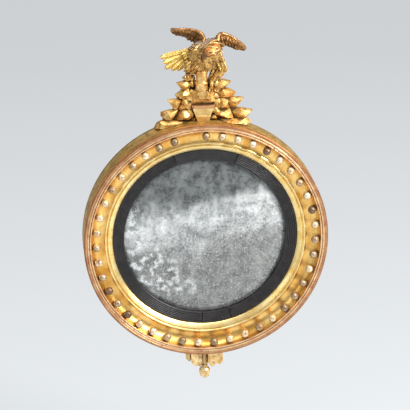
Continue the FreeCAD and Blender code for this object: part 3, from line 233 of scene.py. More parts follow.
def section_mesh(corners):
    """A closed section of (radius, y) corners in millimetres, as a loop of edges."""
    mesh = bpy.data.meshes.new("section")
    loop = [(number, (number + 1) % len(corners)) for number in range(len(corners))]
    mesh.from_pydata([(x * MM, y * MM, 0) for x, y in corners], loop, [])
    return mesh


run_a_moulding = moulding_tree()


def moulding(name, corners, first, last, finish, uneven=0.3, gap=0.12):
    """One length of moulding between two joints, in degrees, with a hairline left at each joint."""
    hairline = math.degrees(gap / RING)
    return smooth(grow(
        section_mesh(corners), run_a_moulding, name,
        First_angle=math.radians(first + hairline), Last_angle=math.radians(last - hairline),
        Unevenness=uneven * MM, Steps=max(6, int((last - first) / 0.9)), Finish=finish,
    ))


rear_section = [
    (BORE, REAR_TOP + 0.1), (RING - 1, REAR_TOP + 0.1), (RING, REAR_TOP + 1),
    (RING, WALL_FACE - 1.5), (RING - 1.5, WALL_FACE), (BORE, WALL_FACE),
]
for number, corner in enumerate(("upper_right", "upper_left", "lower_left", "lower_right")):
    felloe = moulding(
        f"rear_ring_{corner}", rear_section, 90 * number, 90 * number + 90, side_gilding, 0.0,
    )
    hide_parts(f"rear_felloe_{corner}")
    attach(felloe, "mirror")

# ------------------------------------------------------------------ front ring of felloes
# Four more lengths, their joints between those behind, turned to a cove, reeds and a gilt band.
# Gesso and red-brown bole lie under water gilding: burnished in the cove, left duller on the reeds,
# and rubbed through to the bole on the crests; red-brown painted shade darkens the hollows and the grooves.
GROOVE, BEAD, COVE_EDGE = 230.2, 234.5, 266.8
REEDS = (266.8, 271.4, 277.0, 284.0)
VALLEY = -79.2


def arc(start, end, rise, count):
    """Points after start on the arc to end; it stands out by rise, to the right of the way there."""
    across, along = end[0] - start[0], end[1] - start[1]
    chord = math.hypot(across, along)
    radius = (chord * chord / 4 + rise * rise) / (2 * rise)
    centre = (
        (start[0] + end[0]) / 2 + (rise - radius) * along / chord,
        (start[1] + end[1]) / 2 - (rise - radius) * across / chord,
    )
    first = math.atan2(start[1] - centre[1], start[0] - centre[0])
    sweep = 2 * math.asin(chord / (2 * abs(radius))) * (1 if radius > 0 else -1)
    return [
        (centre[0] + abs(radius) * math.cos(first + sweep * step / count),
         centre[1] + abs(radius) * math.sin(first + sweep * step / count))
        for step in range(1, count + 1)
    ]


front_profile = [(215.05, -51.0), (215.05, -53.1), (215.7, -53.9)]
front_profile += arc((215.7, -53.9), (226.2, -60.9), 0.5, 5)
front_profile += [(227.2, -59.4), (228.35, -58.6), (229.5, -59.4)]
front_profile += [(GROOVE, -60.6)] + arc((GROOVE, -60.6), (BEAD, -60.6), 1.1, 8)
front_profile += arc((BEAD, -60.6), (COVE_EDGE, VALLEY), -8.0, 22)
for inner, outer in zip(REEDS, REEDS[1:]):
    front_profile += arc((inner, VALLEY), (outer, VALLEY), 1.75, 8)
front_profile += [(284.0, -68.0), (283.2, -67.0), (280.8, -67.0)]
front_profile += arc((280.8, -67.0), (280.8, -59.0), 1.0, 6)
front_profile += [(281.8, -59.0), (281.8, -47.0), (BORE, -47.0), (BORE, -51.0)]


def gilding(name, leaf, deep, bole, rub=0.62, gloss=0.3, metal=1.0, cloud=30.0, dark=0.5):
    """Old water gilding: clouded leaf, rubbed to the bole in spots, with dirt and painted shade in the
    hollows.

    The mix of the leaf with the bole is the node "leaf_and_bole".
    """
    material, tree, shader, place = start_finish(name)
    clouds = patches(tree, place, cloud, 0.36, 0.64)
    colour = add(tree, "ShaderNodeMix", COLOURS, {0: clouds, 6: linear(deep), 7: linear(leaf)})
    spots = patches(tree, place, 11.0, rub, rub + 0.09, 7.0, 0.68)
    worn = add(tree, "ShaderNodeMix", COLOURS, {0: spots, 6: colour.outputs[2], 7: linear(bole)})
    worn.name = "leaf_and_bole"
    # painted shade: ambient occlusion darkens the hollows and the places where parts meet, together with the
    # dirt there
    shade = add(tree, "ShaderNodeAmbientOcclusion", {"samples": 6}, {"Distance": 0.012})
    hollow_shade_and_dirt = add(tree, "ShaderNodeMapRange", None, {
        "Value": shade.outputs["AO"], "From Min": 0.62, "From Max": 0.2, "To Max": dark,
    }).outputs[0]
    dirt_and_painted_shade = add(tree, "ShaderNodeMix", COLOURS, {0: hollow_shade_and_dirt, 6: worn.outputs[2], 7: linear("#3A2412")})
    bare = add(tree, "ShaderNodeMath", {"operation": "MAXIMUM"}, {0: spots, 1: hollow_shade_and_dirt}).outputs[0]
    metallic = add(tree, "ShaderNodeMapRange", None, {
        "Value": bare, "From Max": 0.9, "To Min": metal, "To Max": metal * 0.25,
    })
    rough = add(tree, "ShaderNodeMapRange", None, {
        "Value": bare, "To Min": gloss, "To Max": 0.72,
    })
    tree.links.new(dirt_and_painted_shade.outputs[2], shader.inputs["Base Color"])
    tree.links.new(metallic.outputs[0], shader.inputs["Metallic"])
    tree.links.new(rough.outputs[0], shader.inputs["Roughness"])
    gesso = add(tree, "ShaderNodeTexNoise", None, {"Vector": place, "Scale": 260.0, "Detail": 5.0})
    relief = add(tree, "ShaderNodeBump", None, {
        "Height": gesso.outputs[0], "Strength": 0.3, "Distance": 0.0008,
    })
    tree.links.new(relief.outputs[0], shader.inputs["Normal"])
    return material


def tint(material, colour):
    """Multiply a gilding's leaf, under the rubbed spots, by a colour."""
    tree = material.node_tree
    worn = tree.nodes["leaf_and_bole"]
    leaf = worn.inputs[6].links[0].from_socket
    tinted = add(tree, "ShaderNodeMix", MULTIPLIED, {0: 1.0, 6: leaf, 7: colour})
    tree.links.new(tinted.outputs[2], worn.inputs[6])


# Burnished leaf of the cove: deep yellow, smooth, with soft reflections of the light round it.
# its hollow darkening paints shade in the cove round the foot of each ball
cove_gilding = gilding(
    "burnished_gilding_in_cove", "#F8D080", "#D6983E", "#94582C", rub=0.63, gloss=0.34, cloud=38.0, dark=0.7,
)
# Rim: leaf rubbed to a peach of bole and gesso on the reeds, with red-brown painted shade in the grooves, at
# the lip and at the outer turn.
rim_gilding = gilding(
    "rubbed_gilding_on_reeds", "#F4CE9E", "#D2A074", "#9A6248", rub=0.58, gloss=0.38, metal=0.7, cloud=28.0,
)
RIM_BOLE_AND_GROOVE_SHADE = [
    (266.6, "#6E4428"), (267.8, "#FFFFFF"), (270.2, "#FFF0DC"), (271.5, "#5A3018"), (272.9, "#FFFFFF"),
    (275.7, "#F8E6CE"), (277.1, "#5A3018"), (278.8, "#FFFFFF"), (281.5, "#F4E0C6"), (284.2, "#A07048"),
]
RIM_FROM, RIM_TO = 266.0, 285.0
tree = rim_gilding.node_tree
place = add(tree, "ShaderNodeTexCoord").outputs["Object"]
reach = add(tree, "ShaderNodeMapRange", None, {
    "Value": radius_of(tree, place), "From Min": RIM_FROM, "From Max": RIM_TO,
})
shares = [((radius - RIM_FROM) / (RIM_TO - RIM_FROM), code) for radius, code in RIM_BOLE_AND_GROOVE_SHADE]
tint(rim_gilding, ramp_of(tree, reach.outputs[0], shares))
# Sloping band beside the slip: bright matt gilding; the groove and bead outside it are darkened by dirt and
# painted shade in the hollows.
band_gilding = gilding(
    "matt_gilding_on_band", "#FFEAAE", "#F0C878", "#A9763F", rub=0.62, gloss=0.34, cloud=25.0,
)

FRONT_JOINTS = (("top", 43, 139), ("left", 139, 229.5), ("bottom", 229.5, 317), ("right", 317, 403))
for side, first, last in FRONT_JOINTS:
    felloe = moulding(f"front_ring_{side}", front_profile, first, last, cove_gilding, 0.35)
    for finish in (rim_gilding, band_gilding, side_gilding):
        felloe.data.materials.append(finish)
    for face in felloe.data.polygons:
        reach = math.hypot(face.center.x, face.center.z) / MM
        if face.center.y > -0.0528 or reach > 283.7 or (reach > 280 and face.center.y > -0.0685):
            face.material_index = 3
        elif reach > COVE_EDGE - 0.2:
            face.material_index = 1
        elif reach < BEAD:
            face.material_index = 2
    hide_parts(f"front_felloe_{side}")
    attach(felloe, "mirror")

# ------------------------------------------------------------------ black reeded slip
# A separate ring in four lengths, of pear wood stained and polished black to look like ebony, with
# fine reeds turned on its sloping face. It drops in behind the gilt band and holds the glass.
SIGHT, SLIP_EDGE = 188.0, 214.8
SLIP_REEDS = 6

# Ebonised wood: black stain under thin shellac, scuffed grey-brown on the reeds, with a low sheen.
ebony, tree, shader, place = start_finish("ebonised_pear_wood")
worn_black = add(tree, "ShaderNodeMix", COLOURS, {
    0: patches(tree, place, 16.0, 0.42, 0.72, 6.0), 6: linear("#161314"), 7: linear("#2C2726"),
})
tree.links.new(worn_black.outputs[2], shader.inputs["Base Color"])
scuff = add(tree, "ShaderNodeMapRange", None, {
    "Value": patches(tree, place, 6.0, 0.3, 0.7, 6.0), "To Min": 0.3, "To Max": 0.48,
})
tree.links.new(scuff.outputs[0], shader.inputs["Roughness"])
hairs = add(tree, "ShaderNodeTexNoise", None, {"Vector": place, "Scale": 500.0, "Detail": 3.0})
relief = add(tree, "ShaderNodeBump", None, {"Height": hairs.outputs[0], "Strength": 0.15, "Distance": 0.0004})
tree.links.new(relief.outputs[0], shader.inputs["Normal"])


def slip_profile(rise, step=0.0):
    """Section of the slip: sight edge, reeded face from the glass outwards, tongue and seat."""
    corners = [(SIGHT, -42.3), (SIGHT, -50.6 - step), (SIGHT + 0.8, -51.4 - step)]
    width = (SLIP_EDGE - 0.8 - SIGHT - 0.8) / SLIP_REEDS
    for number in range(SLIP_REEDS):
        inner, outer = SIGHT + 0.8 + width * number, SIGHT + 0.8 + width * (number + 1)
        fall = [-51.2 - step - 1.7 * share / SLIP_REEDS for share in (number, number + 1)]
        corners += arc((inner, fall[0]), (outer, fall[1]), rise, 5)
    corners += [(SLIP_EDGE, -52.4), (SLIP_EDGE, -51.1), (220.4, -51.1), (220.4, -38.0), (206.0, -37.1)]
    return corners


for side, first, last, rise, step in (
    ("top", 69, 110, 0.45, 0.0), ("left", 110, 268, 1.25, 0.0),
    ("bottom", 268, 287, 1.0, 0.5), ("right", 287, 429, 1.25, 0.0),
):
    length = moulding(f"slip_{side}", slip_profile(rise, step), first, last, ebony, 0.15, 1.1)
    length.name = f"reeded_slip_{side}"
    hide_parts(f"slip_{side}")
    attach(length, "mirror")

# ------------------------------------------------------------------ convex glass
# One domed crown glass, silvered behind with tin and mercury and held by pine blocks. The silvering
# has clouded white in the damp, mostly low down and across the middle, and is peppered with specks.
GLASS_EDGE, DOME_RADIUS, DOME_APEX, GLASS_THICK = 206.0, 722.3, -66.8, 3.0
GLASS_RINGS, GLASS_SPOKES = 40, 144


def dome_point(radius, sphere, apex, angle):
    """A point of the dome, from its distance to the axis."""
    fall = sphere - math.sqrt(sphere * sphere - radius * radius)
    return Vector((radius * math.cos(angle), apex + fall, radius * math.sin(angle))) * MM


def new_piece(name, work, finish, body="mirror"):
    """An object from a finished bmesh, closed and facing outwards, riding on a body."""
    bmesh.ops.recalc_face_normals(work, faces=work.faces)
    mesh = bpy.data.meshes.new(name)
    work.to_mesh(mesh)
    work.free()
    mesh.materials.append(finish)
    piece = bpy.data.objects.new(name, mesh)
    bpy.context.scene.collection.objects.link(piece)
    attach(piece, body)
    return piece


def skin_over(work, rings, closed=True):
    """Faces between rings of vertices that have as many corners each, with both ends closed."""
    for low, high in zip(rings, rings[1:]):
        for number in range(len(low)):
            work.faces.new([low[number - 1], low[number], high[number], high[number - 1]])
    if closed:
        for end in (rings[0], rings[-1]):
            middle = work.verts.new(sum((corner.co for corner in end), Vector()) / len(end))
            for number in range(len(end)):
                work.faces.new([end[number - 1], end[number], middle])


work = bmesh.new()
spokes = [2 * math.pi * number / GLASS_SPOKES for number in range(GLASS_SPOKES)]
profile = [(GLASS_EDGE * (ring + 1) / GLASS_RINGS, DOME_RADIUS, DOME_APEX) for ring in range(GLASS_RINGS)]
inner_edge = GLASS_EDGE * (DOME_RADIUS - GLASS_THICK) / DOME_RADIUS
profile += [
    (inner_edge * (GLASS_RINGS - ring) / GLASS_RINGS, DOME_RADIUS - GLASS_THICK, DOME_APEX + GLASS_THICK)
    for ring in range(GLASS_RINGS)
]
skin_over(work, [[work.verts.new(dome_point(*ring, angle)) for angle in spokes] for ring in profile])

# Silvered glass: a dim mirror under a haze. Nearly clear at the top, where its dark colour is a painted
# reflection of the dim room above;
# milky across the middle and on the left, and grey with pinhead specks low down, where the damp has stood.
silvering, tree, shader, place = start_finish("clouded_old_silvering")
spread = add(tree, "ShaderNodeMapping", None, {"Vector": place, "Scale": (1.0, 0.0, 1.0)}).outputs[0]
axes = add(tree, "ShaderNodeSeparateXYZ", None, {"Vector": place}).outputs
mottle = patches(tree, spread, 36.0, 0.36, 0.62, 12.0, 0.8)
tones = [
    add(tree, "ShaderNodeMix", COLOURS, {0: mottle, 6: linear(dark), 7: linear(pale)}).outputs[2]
    for dark, pale in (("#464848", "#8C908F"), ("#888C8B", "#FBFCFA"), ("#626260", "#9E9E9B"))
]
# the milky band rises a little to the right, and its edges wander
wander = add(tree, "ShaderNodeTexNoise", None, {
    "Vector": spread, "Scale": 9.0, "Detail": 5.0, "Roughness": 0.65,
}).outputs[0]
tilt = add(tree, "ShaderNodeMath", {"operation": "MULTIPLY_ADD"}, {0: axes["X"], 1: -0.22, 2: axes["Z"]})
edge = add(tree, "ShaderNodeMath", {"operation": "MULTIPLY_ADD"}, {0: wander, 1: 0.16, 2: tilt.outputs[0]})
# above this wandering edge the glass is painted dark, a painted reflection of the dim room above
top = add(tree, "ShaderNodeMapRange", {"interpolation_type": "SMOOTHSTEP"}, {
    "Value": edge.outputs[0], "From Min": 0.12, "From Max": 0.19,
})
lean = add(tree, "ShaderNodeMath", {"operation": "MULTIPLY_ADD"}, {0: axes["X"], 1: -0.2, 2: axes["Z"]})
low_edge = add(tree, "ShaderNodeMath", {"operation": "MULTIPLY_ADD"}, {0: wander, 1: 0.2, 2: lean.outputs[0]})
low = add(tree, "ShaderNodeMapRange", {"interpolation_type": "SMOOTHSTEP"}, {
    "Value": low_edge.outputs[0], "From Min": 0.17, "From Max": 0.06,
})
milky = add(tree, "ShaderNodeMix", COLOURS, {0: top.outputs[0], 6: tones[1], 7: tones[0]})
silver = add(tree, "ShaderNodeMix", COLOURS, {0: low.outputs[0], 6: milky.outputs[2], 7: tones[2]})
# white blooms at the lower left, then dark and pale specks all over the lower half
corner = add(tree, "ShaderNodeMath", {"operation": "MULTIPLY_ADD"}, {0: axes["X"], 1: 1.3, 2: axes["Z"]})
left = add(tree, "ShaderNodeMapRange", None, {"Value": corner.outputs[0], "From Min": -0.1, "From Max": -0.2})
above = add(tree, "ShaderNodeMapRange", None, {"Value": axes["Z"], "From Min": -0.16, "From Max": -0.12})
damp = add(tree, "ShaderNodeMath", {"operation": "MULTIPLY"}, {0: above.outputs[0], 1: left.outputs[0]})
blooms = add(tree, "ShaderNodeMath", {"operation": "MULTIPLY"}, {
    0: patches(tree, spread, 20.0, 0.51, 0.54, 9.0, 0.78), 1: damp.outputs[0],
}).outputs[0]
bloomed = add(tree, "ShaderNodeMix", COLOURS, {0: blooms, 6: silver.outputs[2], 7: linear("#EFF2F1")})
half = add(tree, "ShaderNodeMapRange", None, {
    "Value": tilt.outputs[0], "From Min": 0.07, "From Max": 0.0, "To Max": 0.52,
})
dark_specks = add(tree, "ShaderNodeMath", {"operation": "MULTIPLY"}, {
    0: patches(tree, spread, 5.0, 0.5, 0.6, 2.0, 0.6), 1: half.outputs[0],
}).outputs[0]
specked = add(tree, "ShaderNodeMix", COLOURS, {0: dark_specks, 6: bloomed.outputs[2], 7: linear("#464948")})
pale_specks = add(tree, "ShaderNodeMath", {"operation": "MULTIPLY"}, {
    0: patches(tree, spread, 4.5, 0.6, 0.66, 2.0, 0.6), 1: half.outputs[0],
}).outputs[0]
spotted = add(tree, "ShaderNodeMix", COLOURS, {0: pale_specks, 6: specked.outputs[2], 7: linear("#F2F4F3")})
tree.links.new(spotted.outputs[2], shader.inputs["Base Color"])
dead = add(tree, "ShaderNodeMath", {"operation": "MAXIMUM"}, {0: mottle, 1: blooms}).outputs[0]
mirror = add(tree, "ShaderNodeMapRange", None, {"Value": dead, "To Min": 0.6, "To Max": 0.15})
tree.links.new(mirror.outputs[0], shader.inputs["Metallic"])
haze = add(tree, "ShaderNodeMapRange", None, {"Value": dead, "To Min": 0.16, "To Max": 0.42})
tree.links.new(haze.outputs[0], shader.inputs["Roughness"])
shader.inputs["Coat Weight"].default_value = 0.2
shader.inputs["Coat Roughness"].default_value = 0.04
waves = add(tree, "ShaderNodeTexNoise", None, {"Vector": spread, "Scale": 18.0, "Detail": 1.0})
relief = add(tree, "ShaderNodeBump", None, {"Height": waves.outputs[0], "Strength": 0.12, "Distance": 0.002})
tree.links.new(relief.outputs[0], shader.inputs["Normal"])

glass = smooth(new_piece("silvered_dome", work, silvering))
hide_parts("convex_glass")

# Pine blocks glued round the glass's edge, split from offcuts and left bare.
offcut, tree, shader, place = start_finish("bare_pine_offcut")
tree.links.new(pine(tree, place), shader.inputs["Base Color"])
shader.inputs["Roughness"].default_value = 0.8


def redress(node, finish):
    """Give a CAD node that stays a better material."""
    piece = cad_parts[node]
    piece.data.materials.clear()
    piece.data.materials.append(finish)


redress("glass_blocks", offcut)

# ------------------------------------------------------------------ balls in the cove
# Forty-two turned and gilded wooden balls, each pinned and glued in the cove; one place is empty.
# Handling and dusting have taken the leaf off unevenly, so some are bright and some brown or grey.
BALLS, BALL_CIRCLE, BALL_Y, BALL_RADIUS, LOST_BALL = 43, 254.5, -75.1, 9.6, 42


def balls_tree():
    """Sets one turned ball at each place round the cove, each turned and worn in its own way."""
    made = bpy.data.node_groups.new("set_balls_round_cove", "GeometryNodeTree")
    sockets = made.interface
    sockets.new_socket("Ball", in_out="INPUT", socket_type="NodeSocketGeometry")
    for title in ("Circle radius", "Stand"):
        sockets.new_socket(title, in_out="INPUT", socket_type="NodeSocketFloat")
    for title in ("Places", "Lost place", "Seed"):
        sockets.new_socket(title, in_out="INPUT", socket_type="NodeSocketInt")
    sockets.new_socket("Finish", in_out="INPUT", socket_type="NodeSocketMaterial")
    sockets.new_socket("Balls", in_out="OUTPUT", socket_type="NodeSocketGeometry")
    given = add(made, "NodeGroupInput").outputs
    number = add(made, "GeometryNodeInputIndex").outputs[0]
    step = add(made, "ShaderNodeMath", {"operation": "DIVIDE"}, {0: 2 * math.pi, 1: given["Places"]})
    turn = add(made, "ShaderNodeMath", {"operation": "MULTIPLY"}, {0: number, 1: step.outputs[0]}).outputs[0]
    spots = []
    for operation in ("SINE", "COSINE"):
        share = add(made, "ShaderNodeMath", {"operation": operation}, {0: turn}).outputs[0]
        spots.append(add(made, "ShaderNodeMath", {"operation": "MULTIPLY"}, {
            0: share, 1: given["Circle radius"],
        }).outputs[0])
    spot = add(made, "ShaderNodeCombineXYZ", None, {"X": spots[0], "Y": given["Stand"], "Z": spots[1]})
    points = add(made, "GeometryNodePoints", None, {"Count": given["Places"], "Position": spot.outputs[0]})
    there = add(made, "FunctionNodeCompare", {"data_type": "INT", "operation": "NOT_EQUAL"}, {
        2: number, 3: given["Lost place"],
    })
    spin = add(made, "FunctionNodeRandomValue", {"data_type": "FLOAT_VECTOR"}, {
        1: (6.28, 6.28, 6.28), "Seed": given["Seed"],
    })
    set_in = add(made, "GeometryNodeInstanceOnPoints", None, {
        "Points": points.outputs[0], "Selection": there.outputs[0], "Instance": given["Ball"],
        "Rotation": spin.outputs[0],
    })
    tone = add(made, "FunctionNodeRandomValue", {"data_type": "FLOAT"}, {"Seed": given["Seed"]})
    toned = add(made, "GeometryNodeStoreNamedAttribute", {"data_type": "FLOAT", "domain": "INSTANCE"}, {
        "Geometry": set_in.outputs[0], "Name": "ball_tone", "Value": tone.outputs[1],
    })
    real = add(made, "GeometryNodeRealizeInstances", None, {"Geometry": toned.outputs[0]})
    dressed = add(made, "GeometryNodeSetMaterial", None, {
        "Geometry": real.outputs[0], "Material": given["Finish"],
    })
    add(made, "NodeGroupOutput", None, {"Balls": dressed.outputs[0]})
    return made


# Gilded balls: burnished leaf, with more or less of the bole and grey size showing on each one.
# the hollow darkening paints a contact shadow where each ball sits in the cove
ball_gilding = gilding(
    "handled_gilding_on_balls", "#FFF6E2", "#D8B890", "#7E604C", rub=0.54, gloss=0.36, cloud=8.0,
    dark=0.6, metal=0.7,
)
tree = ball_gilding.node_tree
tone = add(tree, "ShaderNodeAttribute", {"attribute_name": "ball_tone"}).outputs["Fac"]
TONES = [(0.0, "#FFFCF4"), (0.3, "#FFF0D8"), (0.55, "#E8D0C0"), (0.8, "#C2AC9C"), (1.0, "#7E6A60")]
tint(ball_gilding, ramp_of(tree, tone, TONES))

work = bmesh.new()
bmesh.ops.create_icosphere(work, subdivisions=3, radius=BALL_RADIUS * MM)
for corner in work.verts:
    corner.co *= 0.985 + 0.015 * noise.noise(corner.co * 90)
ball_mesh = bpy.data.meshes.new("turned_ball")
work.to_mesh(ball_mesh)
work.free()
balls = smooth(grow(
    ball_mesh, balls_tree(), "gilded_cove_balls", Circle_radius=BALL_CIRCLE * MM, Stand=BALL_Y * MM,
    Places=BALLS, Lost_place=LOST_BALL, Seed=7, Finish=ball_gilding,
))
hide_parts(*(f"balls_{run}" for run in ("top_right", "right", "bottom", "left", "top")))
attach(balls, "mirror")

# ------------------------------------------------------------------ backboard and its nails
# Three thin pine planks close the back, planed on one side only, with saw marks and a century and a
# half of soot; they are held by eight cut iron nails driven into the rear ring.
plank_wood, tree, shader, place = start_finish("sawn_pine_board")
sawn = add(tree, "ShaderNodeTexWave", {"bands_direction": "Z"}, {
    "Vector": place, "Scale": 90.0, "Distortion": 6.0, "Detail": 3.0, "Detail Scale": 0.6,
})
boards = pine(tree, place, (1.0, 1.0, 0.06))
tree.links.new(boards, shader.inputs["Base Color"])
shader.inputs["Roughness"].default_value = 0.85
relief = add(tree, "ShaderNodeBump", None, {"Height": sawn.outputs[0], "Strength": 0.2, "Distance": 0.0005})
tree.links.new(relief.outputs[0], shader.inputs["Normal"])
for part in ("middle", "left", "right"):
    redress(f"backboard_{part}", plank_wood)

# Wrought iron, cut from plate: black-brown with a rusty bloom.
nail_iron, tree, shader, place = start_finish("rusted_cut_iron")
rust = add(tree, "ShaderNodeMix", COLOURS, {
    0: patches(tree, place, 2.5, 0.4, 0.65), 6: linear("#3A3230"), 7: linear("#6E4024"),
})
tree.links.new(rust.outputs[2], shader.inputs["Base Color"])
shader.inputs["Metallic"].default_value = 0.5
shader.inputs["Roughness"].default_value = 0.7
redress("backboard_nails", nail_iron)

# ------------------------------------------------------------------ hanging plate and its ring
# A brass plate let on to the rear ring by two screws, with a knuckle that a D-shaped brass ring turns
# in; the cord or hook of the wall takes the ring.
LOOP_PIN_Y, LOOP_PIN_Z, LOOP_HALF, LOOP_LEG, LOOP_BEND, WIRE = -5.2, 269.8, 14.0, 8.0, 4.0, 1.8

# Old brass, rolled and drawn: dull yellow, brown where no one has rubbed it.
brass, tree, shader, place = start_finish("tarnished_rolled_brass")
tarnish = patches(tree, place, 8.0, 0.35, 0.68)
metal = add(tree, "ShaderNodeMix", COLOURS, {0: tarnish, 6: linear("#D0AC66"), 7: linear("#7C5A2E")})
tree.links.new(metal.outputs[2], shader.inputs["Base Color"])
shader.inputs["Metallic"].default_value = 1.0
dull = add(tree, "ShaderNodeMapRange", None, {"Value": tarnish, "To Min": 0.32, "To Max": 0.6})
tree.links.new(dull.outputs[0], shader.inputs["Roughness"])
# Steel of the two screws: turned bright once, now grey.
screw_steel, tree, shader, place = start_finish("grey_screw_steel")
grey = add(tree, "ShaderNodeMix", COLOURS, {
    0: patches(tree, place, 2.0, 0.4, 0.7), 6: linear("#8C8A86"), 7: linear("#5A4A3E"),
})
tree.links.new(grey.outputs[2], shader.inputs["Base Color"])
shader.inputs["Metallic"].default_value = 0.9
shader.inputs["Roughness"].default_value = 0.5
redress("hanging_plate", brass)
redress("hanging_plate_screws", screw_steel)


def tube(work, path, radii, sides=12, closed=False):
    """A round bar along a path of points in millimetres, with a radius at each point."""
    rings = []
    for number, spot in enumerate(path):
        ahead = path[(number + 1) % len(path)] if closed or number + 1 < len(path) else spot
        behind = path[number - 1] if closed or number else spot
        along = (Vector(ahead) - Vector(behind)).normalized()
        side = along.cross(Vector((0, 1, 0)) if abs(along.y) < 0.9 else Vector((1, 0, 0))).normalized()
        rise = side.cross(along)
        ring = []
        for turn in range(sides):
            angle = 2 * math.pi * turn / sides
            reach = side * math.cos(angle) + rise * math.sin(angle)
            ring.append(work.verts.new((Vector(spot) + reach * radii[number]) * MM))
        rings.append(ring)
    skin_over(work, rings + [rings[0]] if closed else rings, not closed)
    return rings


def bend(middle, radius, first, last, steps):
    """Points on an arc of the hanging ring, in degrees from +X towards +Z."""
    turns = [math.radians(first + (last - first) * step / steps) for step in range(steps + 1)]
    return [
        (middle[0] + radius * math.cos(turn), LOOP_PIN_Y, middle[1] + radius * math.sin(turn))
        for turn in turns
    ]


loop = bend((LOOP_HALF - LOOP_BEND, LOOP_PIN_Z - LOOP_BEND), LOOP_BEND, 90, 0, 8)
loop += bend((0, LOOP_PIN_Z - LOOP_LEG), LOOP_HALF, 0, -180, 36)
loop += bend((LOOP_BEND - LOOP_HALF, LOOP_PIN_Z - LOOP_BEND), LOOP_BEND, 180, 90, 8)
loop += [(x, LOOP_PIN_Y, LOOP_PIN_Z) for x in (-7.0, -3.0, 3.0, 7.0)]
work = bmesh.new()
tube(work, loop, [WIRE * 0.99] * len(loop), 16, True)
hanger = smooth(new_piece("brass_hanging_ring", work, brass, "hanging_ring"))
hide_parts("hanging_ring")

# ------------------------------------------------------------------ dowels of the cresting and apron
# Beech pegs glued into the ring's edge; they hold the two carvings and hardly show.
peg, tree, shader, place = start_finish("beech_peg")
flecks = add(tree, "ShaderNodeMix", COLOURS, {
    0: patches(tree, place, 1.5, 0.45, 0.6), 6: linear("#C09A6C"), 7: linear("#A47A4C"),
})
tree.links.new(flecks.outputs[2], shader.inputs["Base Color"])
shader.inputs["Roughness"].default_value = 0.7
for place_of_pegs in ("crest", "apron"):
    redress(f"{place_of_pegs}_dowels", peg)

# ------------------------------------------------------------------ rockwork of the cresting
# Blocks of lime wood carved as split rocks, glued in tiers to a sawn board, then gessoed and gilded.
# Gouge cuts leave each one with its own flats, worn round at the arrises.
board_gilding = gilding(
    "dull_gilding_on_crest_board", "#A8854E", "#7A5A34", "#5E3E26", rub=0.5, gloss=0.5, metal=0.6, dark=0.9,
)
# its hollow darkening paints shade in the crevices between the stones and the board
rock_gilding = gilding(
    "bright_gilding_on_rocks", "#FFDD92", "#C48C3E", "#8A5228", rub=0.55, gloss=0.48, cloud=14.0, dark=0.95,
    metal=0.9,
)


def copy_of(node):
    """A bmesh of a CAD node with its loose triangles joined into flats again."""
    work = bmesh.new()
    work.from_mesh(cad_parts[node].data)
    bmesh.ops.remove_doubles(work, verts=work.verts, dist=0.00001)
    bmesh.ops.dissolve_limit(work, angle_limit=math.radians(2), verts=work.verts, edges=work.edges)
    return work


def chip(work, dice, count, least, most):
    """Cut count flats off the front arrises, each this share of the way out from the middle."""
    for cut in range(count):
        corners = [corner.co for corner in work.verts]
        middle = sum(corners, Vector()) / len(corners)
        way = Vector((dice.uniform(-1, 1), dice.uniform(-1.2, -0.35), dice.uniform(-1, 1))).normalized()
        reach = max((corner - middle).dot(way) for corner in corners)
        everything = [*work.verts, *work.edges, *work.faces]
        sliced = bmesh.ops.bisect_plane(
            work, geom=everything, plane_co=middle + way * reach * dice.uniform(least, most),
            plane_no=way, clear_outer=True,
        )
        rim = [part for part in sliced["geom_cut"] if isinstance(part, bmesh.types.BMEdge)]
        bmesh.ops.contextual_create(work, geom=rim)


def carve(name, work, finish, voxel, softness, ripple, grain=0.12):
    """Turn a rough form into carved and gessoed wood: soft arrises and slightly uneven flats.

    The voxel and the depth of the ripple and the grain are in millimetres.
    """
    rough = new_piece(name, work, finish)
    remesh = rough.modifiers.new("skin", "REMESH")
    remesh.mode, remesh.voxel_size = "VOXEL", voxel * MM
    soften = rough.modifiers.new("gesso", "SMOOTH")
    soften.factor, soften.iterations = 0.5, softness
    mesh = bpy.data.meshes.new_from_object(rough.evaluated_get(bpy.context.evaluated_depsgraph_get()))
    rough.modifiers.clear()
    rough.data = mesh
    mesh.materials.clear()
    mesh.materials.append(finish)
    for corner in mesh.vertices:
        uneven = noise.noise(corner.co * 160) * ripple + noise.noise(corner.co * 520) * grain
        corner.co -= corner.normal * (abs(uneven) * MM)
    mesh.polygons.foreach_set("use_smooth", [True] * len(mesh.polygons))
    return rough


# The sawn board behind the rocks, notched at each tier so that it stays out of sight.
SEAT, BOARD_BACK, BOARD_THICK = 281.9, -12.1, 19.8
NOTCHES = [
    (-98.0, 272.0), (-92.0, 283.9), (-66.0, 308.9), (-60.0, 334.9), (-49.0, 356.9), (-40.0, 371.0),
    (39.0, 371.0), (47.0, 356.9), (65.0, 334.9), (71.0, 308.9), (93.0, 283.9), (94.0, 274.0),
]
outline = NOTCHES + [(x, math.sqrt(SEAT ** 2 - x ** 2)) for x in range(92, -97, -6)]
work = bmesh.new()
flat = work.faces.new([work.verts.new(Vector((x, BOARD_BACK, z)) * MM) for x, z in outline])
pulled = bmesh.ops.extrude_face_region(work, geom=[flat])["geom"]
front = [part for part in pulled if isinstance(part, bmesh.types.BMVert)]
bmesh.ops.translate(work, verts=front, vec=(0, -BOARD_THICK * MM, 0))
board = carve("sawn_crest_board", work, board_gilding, 1.8, 1, 0.2)
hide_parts("crest_board")

rock_nodes = [f"rock_left_{tier}" for tier in range(6)] + [f"rock_right_{tier}" for tier in range(5)]
rock_nodes += [f"rock_{side}_inner_{tier}" for side in ("left", "right") for tier in (1, 2)]
for number, node in enumerate(rock_nodes):
    work = copy_of(node)
    chip(work, random.Random(number + 11), 10, 0.58, 0.86)
    stone = smooth(carve(node.replace("rock", "carved_rock"), work, rock_gilding, 0.9, 0, 0.1, 0.06), 28)
    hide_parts(node)

